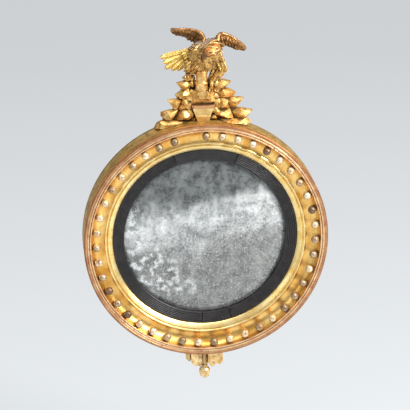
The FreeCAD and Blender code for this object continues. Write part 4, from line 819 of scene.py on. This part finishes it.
# Small split stones fill in round the middle, let into the board: middle, half width and height.
STONE_Y, STONE_HALF_DEPTH = -36.0, 9.5
SMALL_STONES = [
    (-28, 367, 12, 11), (-26, 351, 12, 10), (-33, 338, 12, 11), (-36, 318, 12, 11), (-31, 300, 12, 13),
    (-25, 285, 10, 7), (24, 287, 10, 8), (27, 304, 12, 12), (30, 324, 11, 11), (27, 341, 10, 9),
    (28, 355, 11, 9), (26, 368, 11, 10), (-52, 292, 11, 8), (54, 290, 11, 8), (-28, 383, 8, 9),
    (-25, 395, 6, 7), (13, 377, 7, 9), (-48, 326, 9, 7), (50, 325, 10, 7), (42, 351, 9, 7),
    (-42, 356, 8, 6),
]
for number, (x, z, half_width, half_height) in enumerate(SMALL_STONES):
    dice = random.Random(number + 40)
    work = bmesh.new()
    for corner in range(20):
        way = Vector((dice.gauss(0, 1), dice.gauss(0, 1), dice.gauss(0, 1))).normalized()
        spot = (x + way.x * half_width, STONE_Y + way.y * STONE_HALF_DEPTH, z + way.z * half_height)
        work.verts.new(Vector(spot) * MM)
    hull = bmesh.ops.convex_hull(work, input=work.verts)
    bmesh.ops.delete(work, geom=hull["geom_interior"], context="VERTS")
    stone = smooth(carve(f"carved_small_stone_{number}", work, rock_gilding, 0.9, 0, 0.1, 0.06), 28)

# The middle stones: a banded keystone that widens upwards, and a large wedge above it.
keystone_gilding = gilding(
    "gilding_on_keystone", "#FFE6A0", "#E0B060", "#8A5630", rub=0.6, gloss=0.36, metal=0.85, dark=0.9,
)
tree = keystone_gilding.node_tree
place = add(tree, "ShaderNodeTexCoord").outputs["Object"]
height = add(tree, "ShaderNodeSeparateXYZ", None, {"Vector": place}).outputs["Z"]
worn = tree.nodes["leaf_and_bole"]
rosy = add(tree, "ShaderNodeMapRange", None, {"Value": height, "From Min": 0.311, "From Max": 0.316})
banded = add(tree, "ShaderNodeMix", COLOURS, {
    0: rosy.outputs[0], 6: worn.inputs[6].links[0].from_socket, 7: linear("#D0A070"),
})
tree.links.new(banded.outputs[2], worn.inputs[6])
for node, finish, flats in (("keystone", keystone_gilding, 0), ("wedge_stone", rock_gilding, 4)):
    work = copy_of(node)
    chip(work, random.Random(5), flats, 0.74, 0.9)
    stone = smooth(carve(f"carved_{node}", work, finish, 1.0, 0, 0.12, 0.06), 28)
    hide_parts(node)

# ------------------------------------------------------------------ stump below the eagle
# A round stump, turned rather than hewn, that stands on the wedge and carries the bird.
stump_gilding = gilding(
    "peach_gilding_on_stump", "#FFD78C", "#CE9850", "#8A5228", rub=0.58, gloss=0.36, metal=0.8, dark=0.9,
    cloud=14.0,
)
STUMP_X, STUMP_Y = -7.0, -43.17
# height and radius of each ring: a flared foot, a raised collar, and a rounded head
STUMP_RINGS = [
    (357.0, 15.9), (361.0, 15.6), (366.0, 14.2), (370.0, 13.4), (372.0, 15.6), (376.0, 15.8), (378.0, 13.2),
    (386.0, 12.6), (393.0, 13.6), (399.0, 14.4), (403.0, 13.8), (404.8, 11.5),
]
work = bmesh.new()
rings = []
for height, radius in STUMP_RINGS:
    ring = []
    for turn in range(28):
        angle = 2 * math.pi * turn / 28
        knob = radius * (1 + 0.05 * math.sin(3 * angle + height * 0.3))
        spot = (STUMP_X + knob * math.cos(angle), STUMP_Y + knob * 0.7 * math.sin(angle), height)
        ring.append(work.verts.new(Vector(spot) * MM))
    rings.append(ring)
skin_over(work, rings)
stump = carve("carved_stump", work, stump_gilding, 1.2, 1, 0.4)
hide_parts("stump")

# ------------------------------------------------------------------ eagle's body
# Carved from one block of lime: a deep breast leaning over the stump, covered with short feathers
# cut with a gouge. Dust lies on the back and nape; the breast is bright.
PERCH, TORSO_HIGH, TORSO_WIDE, TORSO_DEEP, LEAN = 404.9, 70.0, 78.0, 46.0, 17.0
TORSO_MIDDLE = -43.17
TORSO = [
    (0.0, 0.35, 0.15), (0.16, 0.72, 0.3), (0.38, 0.93, 0.35), (0.66, 0.97, 0.3), (0.86, 0.8, 0.6),
    (1.0, 0.42, 1.0),
]


def feather_gilding(name, leaf, deep, bole, **looks):
    """Gilding on carved feathers, whose fine barbs are gouged along the vane."""
    material = gilding(name, leaf, deep, bole, **looks)
    tree = material.node_tree
    shader = tree.nodes["Principled BSDF"]
    vane = add(tree, "ShaderNodeUVMap", {"uv_map": "vane"}).outputs[0]
    part = add(tree, "ShaderNodeSeparateXYZ", None, {"Vector": vane}).outputs
    aside = add(tree, "ShaderNodeMath", {"operation": "ABSOLUTE"}, {0: part["X"]}).outputs[0]
    slant = add(tree, "ShaderNodeMath", {"operation": "MULTIPLY_ADD"}, {0: aside, 1: -0.8, 2: part["Y"]})
    # barbs are cut about 1.5 mm apart, coarser than a real bird's
    wave = add(tree, "ShaderNodeMath", {"operation": "MULTIPLY"}, {0: slant.outputs[0], 1: 2 * math.pi / 1.5})
    barbs = add(tree, "ShaderNodeMath", {"operation": "SINE"}, {0: wave.outputs[0]}).outputs[0]
    cuts = add(tree, "ShaderNodeBump", None, {
        "Height": barbs, "Strength": 0.5, "Distance": 0.0004,
        "Normal": shader.inputs["Normal"].links[0].from_socket,
    })
    tree.links.new(cuts.outputs[0], shader.inputs["Normal"])
    return material


body_gilding = feather_gilding(
    "gilding_on_eagle_feathers", "#F8CE80", "#A87A3C", "#6A4426", rub=0.56, gloss=0.34, cloud=20.0, dark=0.95,
    metal=0.9,
)


def dust_over(material, share, low, high):
    """Grey dust on what faces up, from nothing at the low height in metres to its share at the high."""
    tree = material.node_tree
    shader = tree.nodes["Principled BSDF"]
    facing = add(tree, "ShaderNodeSeparateXYZ", None, {
        "Vector": add(tree, "ShaderNodeNewGeometry").outputs["Normal"],
    })
    place = add(tree, "ShaderNodeTexCoord").outputs["Object"]
    level = add(tree, "ShaderNodeSeparateXYZ", None, {"Vector": place})
    upward = add(tree, "ShaderNodeMapRange", None, {
        "Value": facing.outputs["Z"], "From Min": 0.0, "From Max": 0.6,
    })
    settled = add(tree, "ShaderNodeMapRange", None, {
        "Value": level.outputs["Z"], "From Min": low, "From Max": high, "To Max": share,
    })
    dust = add(tree, "ShaderNodeMath", {"operation": "MULTIPLY"}, {
        0: upward.outputs[0], 1: settled.outputs[0],
    })
    clean = add(tree, "ShaderNodeMath", {"operation": "SUBTRACT"}, {0: 1.0, 1: dust.outputs[0]})
    colour, metallic = (shader.inputs[title].links[0].from_socket for title in ("Base Color", "Metallic"))
    greyed = add(tree, "ShaderNodeMix", COLOURS, {0: dust.outputs[0], 6: colour, 7: linear("#86786A")})
    tree.links.new(greyed.outputs[2], shader.inputs["Base Color"])
    dulled = add(tree, "ShaderNodeMath", {"operation": "MULTIPLY"}, {0: metallic, 1: clean.outputs[0]})
    tree.links.new(dulled.outputs[0], shader.inputs["Metallic"])


dust_over(body_gilding, 0.85, 0.455, 0.472)
# share across the vane, and height over its back as a share of its thickness
VANE = [(-1.0, 0.2), (-0.6, 0.66), (-0.2, 0.74), (0.0, 1.0), (0.2, 0.74), (0.6, 0.66), (1.0, 0.2)]


def blade(work, root, tip, width, thick, out=(0, -1, 0), curl=0.0, foot=0.5, steps=9, lobes=0, sway=0.0):
    """One carved feather or leaf from root to tip: a crowned vane on a quill, with a round end.

    Widths and heights are in millimetres; curl lifts the tip, and lobes scallop the edges.
    """
    paint = work.loops.layers.uv.get("vane") or work.loops.layers.uv.new("vane")
    root, tip, out = Vector(root), Vector(tip), Vector(out).normalized()
    along = tip - root
    length = along.length
    along.normalize()
    aside = along.cross(out).normalized()
    out = aside.cross(along)
    rings, marks = [], {}
    for step in range(steps + 1):
        share = step / steps
        half = width / 2 * (foot + (1 - foot) * math.sin(min(1.0, share / 0.62) * math.pi / 2))
        if share > 0.72:
            half *= math.sqrt(max(0.02, 1 - ((share - 0.72) / 0.285) ** 2))
        if lobes:
            half *= 0.86 + 0.14 * abs(math.sin(math.pi * lobes * share))
        middle = root + along * length * share + aside * sway * math.sin(math.pi * share)
        middle += out * curl * share * share
        ring = []
        for across, height in VANE:
            spot = work.verts.new((middle + aside * half * across + out * thick * height) * MM)
            marks[spot] = (across * half, length * share)
            ring.append(spot)
        for across in (0.9, -0.9):
            spot = work.verts.new((middle + aside * half * across) * MM)
            marks[spot] = (across * half, length * share)
            ring.append(spot)
        rings.append(ring)
    before = len(work.faces)
    skin_over(work, rings, False)
    for end in (rings[0][::-1], rings[-1]):
        work.faces.new(end)
    work.faces.ensure_lookup_table()
    for face in work.faces[before:]:
        for loop in face.loops:
            loop[paint].uv = marks[loop.vert]


def between(table, share):
    """The row of numbers at a share of the way through a table, smoothly between its rows."""
    place = share * (len(table) - 1)
    index = min(int(place), len(table) - 2)
    part = place - index
    rows = [table[max(0, min(len(table) - 1, index + shift))] for shift in (-1, 0, 1, 2)]
    return [
        0.5 * (2 * b + (c - a) * part + (2 * a - 5 * b + 4 * c - d) * part ** 2
               + (3 * b - a - 3 * c + d) * part ** 3)
        for a, b, c, d in zip(*rows)
    ]


def torso_point(share, angle, grow_by=0.0):
    """A point of the body's surface, at a share of its height and an angle round it."""
    high, wide, lean = between(TORSO, share)
    reach_x = TORSO_WIDE * wide / 2 + grow_by
    reach_y = TORSO_DEEP * wide / 2 + grow_by
    return Vector((
        -3.5 + LEAN * lean + reach_x * math.cos(angle),
        TORSO_MIDDLE + TORSO_DEEP * 0.12 * lean + reach_y * math.sin(angle),
        PERCH + TORSO_HIGH * high,
    ))


def cover_tree():
    """Lays a small feather on each point of a guide, along its lie, so that rows overlap."""
    made = bpy.data.node_groups.new("lay_feathers_on_form", "GeometryNodeTree")
    sockets = made.interface
    sockets.new_socket("Guide", in_out="INPUT", socket_type="NodeSocketGeometry")
    sockets.new_socket("Feather", in_out="INPUT", socket_type="NodeSocketObject")
    sockets.new_socket("Finish", in_out="INPUT", socket_type="NodeSocketMaterial")
    sockets.new_socket("Cover", in_out="OUTPUT", socket_type="NodeSocketGeometry")
    given = add(made, "NodeGroupInput").outputs
    feather = add(made, "GeometryNodeObjectInfo", None, {"Object": given["Feather"]})
    guides = {
        title: add(made, "GeometryNodeInputNamedAttribute", {"data_type": kind}, {"Name": title}).outputs[0]
        for title, kind in (("outward", "FLOAT_VECTOR"), ("lie", "FLOAT_VECTOR"), ("span", "FLOAT"))
    }
    upright = add(made, "FunctionNodeAlignRotationToVector", {"axis": "Z"}, {"Vector": guides["outward"]})
    laid = add(made, "FunctionNodeAlignRotationToVector", {"axis": "Y", "pivot_axis": "Z"}, {
        "Rotation": upright.outputs[0], "Vector": guides["lie"],
    })
    placed = add(made, "GeometryNodeInstanceOnPoints", None, {
        "Points": given["Guide"], "Instance": feather.outputs["Geometry"], "Rotation": laid.outputs[0],
        "Scale": guides["span"],
    })
    real = add(made, "GeometryNodeRealizeInstances", None, {"Geometry": placed.outputs[0]})
    dressed = add(made, "GeometryNodeSetMaterial", None, {
        "Geometry": real.outputs[0], "Material": given["Finish"],
    })
    add(made, "NodeGroupOutput", None, {"Cover": dressed.outputs[0]})
    return made


lay_feathers = cover_tree()
work = bmesh.new()
blade(work, (0, -4, 0), (0, 13, 0.4), 9.5, 2.2, (0, 0, 1), 1.0, 0.6, 8)
bmesh.ops.recalc_face_normals(work, faces=work.faces)
short_mesh = bpy.data.meshes.new("short_feather")
work.to_mesh(short_mesh)
work.free()
short_feather = bpy.data.objects.new("short_feather", short_mesh)


def cover(name, guide, finish):
    """Short feathers over a carved form; each guide row is (root, outward, lie, size)."""
    mesh = bpy.data.meshes.new(name)
    mesh.from_pydata([root * MM for root, outward, lie, span in guide], [], [])
    layers = (("outward", "FLOAT_VECTOR", 1), ("lie", "FLOAT_VECTOR", 2), ("span", "FLOAT", 3))
    for title, kind, column in layers:
        layer = mesh.attributes.new(title, kind, "POINT")
        for number, row in enumerate(guide):
            if kind == "FLOAT":
                layer.data[number].value = row[column]
            else:
                layer.data[number].vector = row[column]
    laid = smooth(grow(mesh, lay_feathers, name, Feather=short_feather, Finish=finish), 50)
    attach(laid, "mirror")
    return laid


work = bmesh.new()
rings = []
for ring in range(25):
    rings.append([
        work.verts.new(torso_point(ring / 24, 2 * math.pi * turn / 40, -1.2) * MM) for turn in range(40)
    ])
skin_over(work, rings)
torso = smooth(new_piece("carved_eagle_body", work, body_gilding))
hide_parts("eagle_body")

dice = random.Random(3)
guide = []
for row in range(10):
    share = 0.93 - row * 0.085
    count = 8 + round(13 * between(TORSO, share)[1])
    for number in range(count):
        angle = 2 * math.pi * (number + 0.5 * (row % 2) + dice.uniform(-0.12, 0.12)) / count
        root = torso_point(share, angle, -1.6)
        lie = torso_point(max(0.0, share - 0.06), angle, -1.6) - root
        around = torso_point(share, angle + 0.05, -1.6) - root
        outward = around.cross(lie).normalized()
        if outward.dot(Vector((math.cos(angle), math.sin(angle), 0))) < 0:
            outward.negate()
        lie = lie.normalized()
        if math.cos(angle) < 0.1:
            # feathers of the left flank sweep back towards the tail
            swept = lie + Vector((-0.9, 0, -0.1)) * (0.1 - math.cos(angle))
            lie = (swept - outward * swept.dot(outward)).normalized()
        guide.append((root, outward, lie, dice.uniform(0.9, 1.15)))
plumage = cover("eagle_body_feathers", guide, body_gilding)

# ------------------------------------------------------------------ eagle's head
# The neck bends forward and to the left and the hooked beak points down, the brow cut deep over a
# small drilled eye. It was carved apart and let into the breast.
NECK = [
    (27, -46, 462, 14.5), (22, -58, 462.5, 15.0), (14, -67.5, 461, 14.0), (5.5, -73.0, 458, 12.8),
    (-1.5, -75.5, 454, 9.8),
]
BEAK = [
    (-0.5, -77.0, 455, 7.8), (-5.5, -80.5, 451, 6.8), (-8.8, -83.0, 446.5, 5.2), (-10.2, -84.4, 441.5, 3.3),
    (-9.2, -85.2, 436.8, 1.0),
]
# The head was regilded more warmly than the body.
head_gilding = feather_gilding(
    "rosy_gilding_on_eagle_head", "#DE9E5C", "#985E30", "#5E341C", rub=0.56, gloss=0.48, cloud=12.0,
    dark=0.95,
)
lock_gilding = gilding(
    "pale_gilding_on_head_locks", "#F8D898", "#C8944E", "#84522A", rub=0.58, gloss=0.44, cloud=10.0, dark=0.9,
)
work = bmesh.new()
line = [between(NECK, step / 16) for step in range(17)]
tube(work, [row[:3] for row in line], [row[3] for row in line], 24)
head = smooth(new_piece("carved_eagle_head", work, head_gilding))
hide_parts("eagle_head")

# Beak: gilding gone to brown bole and dirt.
beak_gilding = gilding(
    "brown_worn_gilding_on_beak", "#7A5430", "#4E321C", "#382214", rub=0.5, gloss=0.36, metal=0.6, dark=0.9,
)
work = bmesh.new()
line = [between(BEAK, step / 12) for step in range(13)]
tube(work, [row[:3] for row in line], [row[3] for row in line], 16)
lower = [(-3.0, -78.5, 449.5), (-5.6, -80.5, 446.0), (-7.0, -81.8, 443.4)]
tube(work, lower, [3.6, 2.4, 0.9], 12)
beak = smooth(new_piece("carved_eagle_beak", work, beak_gilding), 60)

# brows that hood the eyes
LATERAL = Vector((0.55, -0.83, 0.0))
work = bmesh.new()
for side in (1, -1):
    middle = Vector((3.6, -74.6, 463.0)) + LATERAL * side * 8.4
    path = [middle - Vector((6.0, 3.6, 4.6)), middle, middle + Vector((7.0, 4.6, 2.0))]
    tube(work, path, [0.8, 2.5, 1.0], 10)
brows = smooth(new_piece("carved_eagle_brows", work, lock_gilding), 60)

# A drilled and painted eye: near black, with a low gloss.
eye_paint, tree, shader, place = start_finish("dark_eye_paint")
shade_of_eye = add(tree, "ShaderNodeMix", COLOURS, {
    0: patches(tree, place, 1.5, 0.4, 0.7), 6: linear("#1A120C"), 7: linear("#3A2818"),
})
tree.links.new(shade_of_eye.outputs[2], shader.inputs["Base Color"])
shader.inputs["Roughness"].default_value = 0.35
work = bmesh.new()
for side in (1, -1):
    spot = Vector((1.6, -74.6, 458.6)) + LATERAL * side * 10.6
    grown = bmesh.ops.create_icosphere(work, subdivisions=2, radius=2.3 * MM)
    bmesh.ops.translate(work, verts=grown["verts"], vec=spot * MM)
eyes = smooth(new_piece("eagle_eyes", work, eye_paint))

# long locks sweep back from the beak and curl round the neck, with deep cuts between them
work = bmesh.new()
for number in range(11):
    start = 2 * math.pi * number / 11
    path, radii = [], []
    for step in range(9):
        share = 0.84 - 0.1 * step
        x, y, z, radius = between(NECK, share)
        ahead = between(NECK, share + 0.05)
        along = (Vector(ahead[:3]) - Vector((x, y, z))).normalized()
        side = along.cross(Vector((0, 0, 1))).normalized()
        rise = side.cross(along)
        angle = start + 0.16 * step + 0.4 * math.sin(step * 0.55 + number * 1.7)
        outward = side * math.cos(angle) + rise * math.sin(angle)
        path.append(Vector((x, y, z)) + outward * (radius + 0.9))
        radii.append(0.6 + 1.3 * math.sin(math.pi * min(1.0, 0.1 + step / 9.5)))
    tube(work, path, radii, 9)
locks = smooth(new_piece("carved_eagle_head_locks", work, lock_gilding), 60)

# ------------------------------------------------------------------ eagle's wings
# Each wing is a thin board of lime carved in two rows of feathers below a rounded leading edge, and
# set into the shoulder. The gilding here has worn and darkened most.
wing_gilding = feather_gilding(
    "worn_gilding_on_wings", "#B08048", "#74502E", "#4A2C1A", rub=0.6, gloss=0.36, cloud=26.0, dark=0.8,
    metal=0.8,
)
dust_over(wing_gilding, 0.2, 0.44, 0.48)
# Leading edges and shoulders: the leaf here is cleaner and redder than on the feathers.
edge_gilding = gilding(
    "warm_gilding_on_wing_edges", "#CC965A", "#8E6038", "#56341E", rub=0.58, gloss=0.34, cloud=14.0, dark=0.8,
    metal=0.85,
)
LEFT_ARM = [(-73, 492.6), (-60, 497.2), (-38, 497.4), (-19, 493.6), (-8, 487), (2, 478)]
LEFT_TIPS = [
    (-75.3, 492.3), (-71.5, 487.2), (-64.5, 482.6), (-57.5, 481.5), (-50.0, 479.2), (-42.6, 476.8),
    (-37.0, 470.0), (-29.0, 466.2), (-20.0, 459.6), (-12.0, 458.8), (-3.0, 460.0),
]
RIGHT_ARM = [(93, 444), (84, 458.5), (70, 471.5), (56, 480), (43, 484.6), (33, 480), (26, 470)]
RIGHT_TIPS = [
    (94.8, 440.4), (89.0, 441.0), (80.0, 442.0), (74.0, 443.2), (66.5, 447.4), (59.5, 450.4),
    (52.0, 453.4), (45.0, 449.6), (38.0, 448.6), (29.0, 450.0),
]
# the rounded shoulder of each wing, from its leading edge forwards on to the body, with its radii
LEFT_SHOULDER = [
    (-30, -24, 496, 3.0), (-17, -25, 493.5, 3.6), (-7, -29, 488.5, 4.2), (-2, -37, 481.5, 4.4),
    (-4, -44, 473, 3.6), (-8, -49, 466, 2.0),
]
RIGHT_SHOULDER = [
    (54, -24, 480.4, 2.8), (43, -25, 485, 3.6), (35, -31, 483.5, 4.4), (31, -39, 475, 4.4),
    (31, -45, 467, 3.0),
]
# reach towards the tips as a share, distance out from the wall, thickness and width of each row
FEATHER_ROWS = [(1.0, 18.6, 4.4, 12.5), (0.5, 23.4, 2.2, 12.0)]


def carved_wing(name, arm, tips, shoulder, sway):
    """A wing's rows of feathers from its arm to its tips, under a rounded leading edge."""
    work = bmesh.new()
    for row, (reach, stand, thick, width) in enumerate(FEATHER_ROWS):
        for number, (tip_x, tip_z) in enumerate(tips):
            place = (number + 0.5 * (row % 2)) / (len(tips) - 1 + 0.5 * (row % 2))
            root_x, root_z = between(arm, min(1.0, place * 0.8 + 0.12))
            root = Vector((root_x, -stand, root_z))
            tip = root + (Vector((tip_x, -stand, tip_z)) - root) * reach
            lift = 0.35 * (number % 2)
            root.y -= lift
            tip.y -= lift
            blade(work, root, tip, width, thick, curl=0.3, foot=0.75, steps=11, sway=sway)
    wing = smooth(new_piece(f"carved_{name}", work, wing_gilding), 50)
    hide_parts(name)
    work = bmesh.new()
    line = [between(arm, step / 18) for step in range(19)]
    radii = [0.9 + 2.2 * math.sin(math.pi * min(1.0, 0.04 + 0.9 * step / 18)) for step in range(19)]
    tube(work, [(x, -23.4, z) for x, z in line], radii, 14)
    line = [between(shoulder, step / 16) for step in range(17)]
    tube(work, [row[:3] for row in line], [row[3] for row in line], 16)
    edge = smooth(new_piece(f"carved_{name}_edge", work, edge_gilding), 50)


carved_wing("eagle_left_wing", LEFT_ARM, LEFT_TIPS, LEFT_SHOULDER, 1.2)
carved_wing("eagle_right_wing", RIGHT_ARM, RIGHT_TIPS, RIGHT_SHOULDER, -1.2)

# ------------------------------------------------------------------ eagle's tail
# Five long feathers fanned to the left, grooved beside their quills; the brightest gilding left.
tail_gilding = feather_gilding(
    "bright_gilding_on_tail", "#FFE08C", "#E0B052", "#94642E", rub=0.6, gloss=0.33, cloud=14.0, dark=0.95,
)
TAIL_ROOT, TAIL_LONG = (-19.7, 447.8), 83.0
TAIL = [(191, 1.0), (201.5, 0.97), (211.5, 1.0), (221, 0.87), (230, 0.76)]
work = bmesh.new()
for number, (angle, share) in enumerate(TAIL):
    way = Vector((math.cos(math.radians(angle)), 0, math.sin(math.radians(angle))))
    root = Vector((TAIL_ROOT[0], -24.3 - 0.9 * (number % 2), TAIL_ROOT[1]))
    blade(work, root, root + way * TAIL_LONG * share * 0.995, 15.5, 5.0, curl=0.4, foot=0.62, steps=18)
    # the quill stands proud of the vane
    quill = [root + way * TAIL_LONG * share * part + Vector((0, -4.2, 0)) for part in (0.1, 0.5, 0.93)]
    tube(work, quill, [1.3, 1.2, 0.6], 8)
# coverts lap the roots of the long feathers
for row, (reach, spread) in enumerate(((40.0, 6), (28.0, 5))):
    for number in range(spread):
        angle = math.radians(186 + 50 * (number + 0.3 * row) / (spread - 1))
        way = Vector((math.cos(angle), 0, math.sin(angle)))
        root = Vector((TAIL_ROOT[0] + 6, -29.5 - 2.4 * row - 0.5 * (number % 2), TAIL_ROOT[1] + 3))
        blade(work, root, root + way * reach, 12.0, 3.6, curl=0.6, foot=0.6, steps=12)
tail = smooth(new_piece("carved_eagle_tail", work, tail_gilding), 50)
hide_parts("eagle_tail")

# ------------------------------------------------------------------ eagle's legs
# Feathered thighs that swell over short scaled shanks, and feet of three toes with hooked claws that
# grip the rocks; the left stands higher than the right.
leg_gilding = feather_gilding(
    "striped_gilding_on_legs", "#FFD684", "#9A6430", "#5E3A1E", rub=0.6, gloss=0.32, cloud=9.0, dark=0.95,
)
LEGS = {
    "left": [(-40, 391.9, 5.2), (-39.5, 397, 5.4), (-38.6, 402, 6.6), (-34, 411, 12.6), (-27, 420, 13.2),
             (-13, 434, 11.4)],
    "right": [(15.75, 357, 5.2), (16, 366, 5.2), (17.5, 380, 6.6), (29, 392, 12.0), (38, 405, 13.6),
              (33, 422, 12.6), (26, 434.5, 11.4)],
}
for side, rows in LEGS.items():
    work = bmesh.new()
    line = [between(rows, step / 20) for step in range(21)]
    tube(work, [(x, TORSO_MIDDLE, z) for x, z, radius in line], [row[2] * 0.9 for row in line], 20)
    foot_x, foot_z = rows[0][:2]
    for spread in (-0.4, 0.0, 0.4):
        toe = []
        for reach, rise in ((0.0, 4.5), (5.0, 5.6), (10.0, 4.6), (14.0, 3.6), (17.0, 2.6), (18.6, 1.0)):
            toe.append((foot_x + spread * reach, TORSO_MIDDLE - reach, foot_z + rise))
        tube(work, toe, [3.2, 3.1, 2.7, 2.3, 1.5, 0.5], 10)
    leg = smooth(new_piece(f"carved_eagle_{side}_leg", work, leg_gilding), 50)
    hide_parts(f"eagle_{side}_leg")
    # long locks of feathers run down the thigh to the shank
    work = bmesh.new()
    for lock in range(8):
        angle = 2 * math.pi * (lock + 0.25) / 8
        path = []
        for share in (0.92, 0.66, 0.4 if lock % 2 else 0.34):
            x, z, radius = between(rows, share)
            below = between(rows, share - 0.06)
            along = Vector((below[0] - x, 0, below[1] - z)).normalized()
            rise = along.cross(Vector((0, 1, 0))).normalized()
            outward = Vector((0, 1, 0)) * math.cos(angle) + rise * math.sin(angle)
            path.append((Vector((x, TORSO_MIDDLE, z)) + outward * (radius - 1.6), outward))
        blade(work, path[0][0], path[1][0], 7.0, 5.8, path[0][1] + path[1][1], 0.6, 0.6, 8)
        middle = path[0][0].lerp(path[1][0], 0.6)
        blade(work, middle, path[2][0], 6.0, 5.4, path[1][1] + path[2][1], 0.8, 0.7, 8)
    thigh = smooth(new_piece(f"eagle_{side}_thigh_feathers", work, leg_gilding), 50)

# ------------------------------------------------------------------ apron of leaves and its bud
# A small block of six leaves under the ring, each with a raised rib and a tip that curls forward,
# and a closed bud below. On the carving the right leaves still have their first bright gilding; here all the
# leaves share one finish.
leaf_gilding = feather_gilding(
    "gilding_on_apron_leaves", "#FFE6AE", "#CF9C56", "#8E5E34", rub=0.58, gloss=0.36, cloud=16.0, dark=0.95,
    metal=0.85,
)
apron = carve("carved_apron_block", copy_of("apron_leaves"), leaf_gilding, 1.4, 4, 0.3)
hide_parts("apron_leaves")
# middle, width, foot and front of each leaf
LEAVES = [
    (-36.5, 12.0, -314.5, 43.5), (-25.4, 12.5, -322.0, 48.0), (-12.2, 12.0, -325.4, 50.0),
    (0.5, 10.5, -327.6, 45.0), (17.1, 20.0, -325.5, 53.0), (34.2, 14.5, -323.5, 47.5),
]
work = bmesh.new()
for middle, width, foot, front in LEAVES:
    root, tip = (middle, -front, -281), (middle, 2 - front, foot + 1)
    blade(work, root, tip, width, 3.6, curl=1.5, foot=0.7, steps=14, lobes=3)
    rib = [(middle, -front - 2.4, -283), (middle, -front - 2.6, -300), (middle, -front - 2.4, foot + 6)]
    tube(work, rib, [1.4, 1.3, 0.6], 8)
leaves = smooth(new_piece("carved_apron_leaves", work, leaf_gilding), 50)

bud = carve("carved_bud", copy_of("apron_bud"), leaf_gilding, 1.2, 6, 0.2)
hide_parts("apron_bud")
work = bmesh.new()
for number in range(6):
    angle = math.pi / 6 + 2 * math.pi * number / 6
    out = Vector((math.cos(angle), math.sin(angle), 0))
    root = Vector((0, -41, -325)) + out * 5.0
    tip = Vector((0, -41, -352)) + out * 7.5
    blade(work, root, tip, 11.0, 2.6, out, 2.2, 0.6, 9)
petals = smooth(new_piece("carved_bud_leaves", work, leaf_gilding), 50)

# ------------------------------------------------------------------ floor, light and camera
# A pale floor well below the hanging mirror, which also fills the view behind it, since the camera
# looks down. The key light is high on the right, with a broad fill from the left and above.
CAMERA_WAY = Vector((-0.106, -0.9306, 0.350)).normalized()
AIM = Vector((0.0012, -0.04, 0.0736))
CAMERA_DISTANCE, VIEW_WIDTH = 10.0, 0.949

# Matt paint, nearly white close by and greyer further off, a painted fall-off of the light; to camera rays it
# also glows a little, which lifts it.
floor_paint = bpy.data.materials.new("pale_painted_floor")
floor_paint.use_nodes = True
tree = floor_paint.node_tree
shader = tree.nodes["Principled BSDF"]
shader.inputs["Roughness"].default_value = 0.9
place = add(tree, "ShaderNodeTexCoord").outputs["Object"]
far = add(tree, "ShaderNodeSeparateXYZ", None, {"Vector": place})
painted_light_falloff = add(tree, "ShaderNodeMapRange", None, {"Value": far.outputs["Y"], "From Min": 0.3, "From Max": 3.2})
paint = add(tree, "ShaderNodeMix", COLOURS, {0: painted_light_falloff.outputs[0], 6: linear("#E4E8EB"), 7: linear("#D2D5D8")})
tree.links.new(paint.outputs[2], shader.inputs["Base Color"])
glow = add(tree, "ShaderNodeEmission", None, {"Color": paint.outputs[2], "Strength": 1.0})
seen = add(tree, "ShaderNodeMath", {"operation": "MULTIPLY"}, {
    0: add(tree, "ShaderNodeLightPath").outputs["Is Camera Ray"], 1: 0.75,
})
lifted = add(tree, "ShaderNodeMixShader", None, {
    0: seen.outputs[0], 1: shader.outputs[0], 2: glow.outputs[0],
})
tree.links.new(lifted.outputs[0], tree.nodes["Material Output"].inputs["Surface"])

work = bmesh.new()
bmesh.ops.create_grid(work, x_segments=2, y_segments=2, size=14.0)
bmesh.ops.translate(work, verts=work.verts, vec=(0.0, 0.0, -0.62))
floor_mesh = bpy.data.meshes.new("floor")
work.to_mesh(floor_mesh)
work.free()
floor_mesh.materials.append(floor_paint)
floor = bpy.data.objects.new("floor", floor_mesh)
bpy.context.scene.collection.objects.link(floor)

# The room is dim at eye level and bright overhead, which gives gilding and glass their contrast.
world = bpy.data.worlds.new("soft_studio")
bpy.context.scene.world = world
world.use_nodes = True
tree = world.node_tree
way = add(tree, "ShaderNodeTexCoord").outputs["Generated"]
height = add(tree, "ShaderNodeSeparateXYZ", None, {"Vector": way})
SKY = [(0.0, "#8C8E90"), (0.18, "#7C7F82"), (0.45, "#C8CACC"), (1.0, "#F4F4F4")]
sky = ramp_of(tree, height.outputs["Z"], SKY)
tree.links.new(sky, tree.nodes["Background"].inputs["Color"])
tree.nodes["Background"].inputs["Strength"].default_value = 0.9


def lamp(name, place, aim, width, height, power, code="#FFFFFF"):
    """A soft rectangular studio light aimed at a point."""
    light = bpy.data.lights.new(name, "AREA")
    light.shape, light.size, light.size_y = "RECTANGLE", width, height
    light.energy = power
    light.color = linear(code)[:3]
    holder = bpy.data.objects.new(name, light)
    holder.location = place
    holder.rotation_euler = (Vector(aim) - Vector(place)).to_track_quat("-Z", "Y").to_euler()
    bpy.context.scene.collection.objects.link(holder)


lamp("key_light_right", (2.4, -1.7, 1.9), (0, 0, 0), 0.9, 1.4, 124)
lamp("fill_light_left", (-2.6, -2.6, 0.9), (0, 0, 0), 1.6, 1.6, 15)
lamp("top_light", (0.2, -0.9, 3.0), (0, 0, 0), 2.2, 1.2, 38)

lens = bpy.data.cameras.new("camera")
lens.sensor_width = 36.0
lens.lens = 36.0 * CAMERA_DISTANCE / VIEW_WIDTH
lens.clip_end = 100.0
camera = bpy.data.objects.new("camera", lens)
camera.location = AIM + CAMERA_WAY * CAMERA_DISTANCE
camera.rotation_euler = (-CAMERA_WAY).to_track_quat("-Z", "Y").to_euler()
bpy.context.scene.collection.objects.link(camera)
bpy.context.scene.camera = camera
bpy.context.scene.view_settings.view_transform = "Standard"
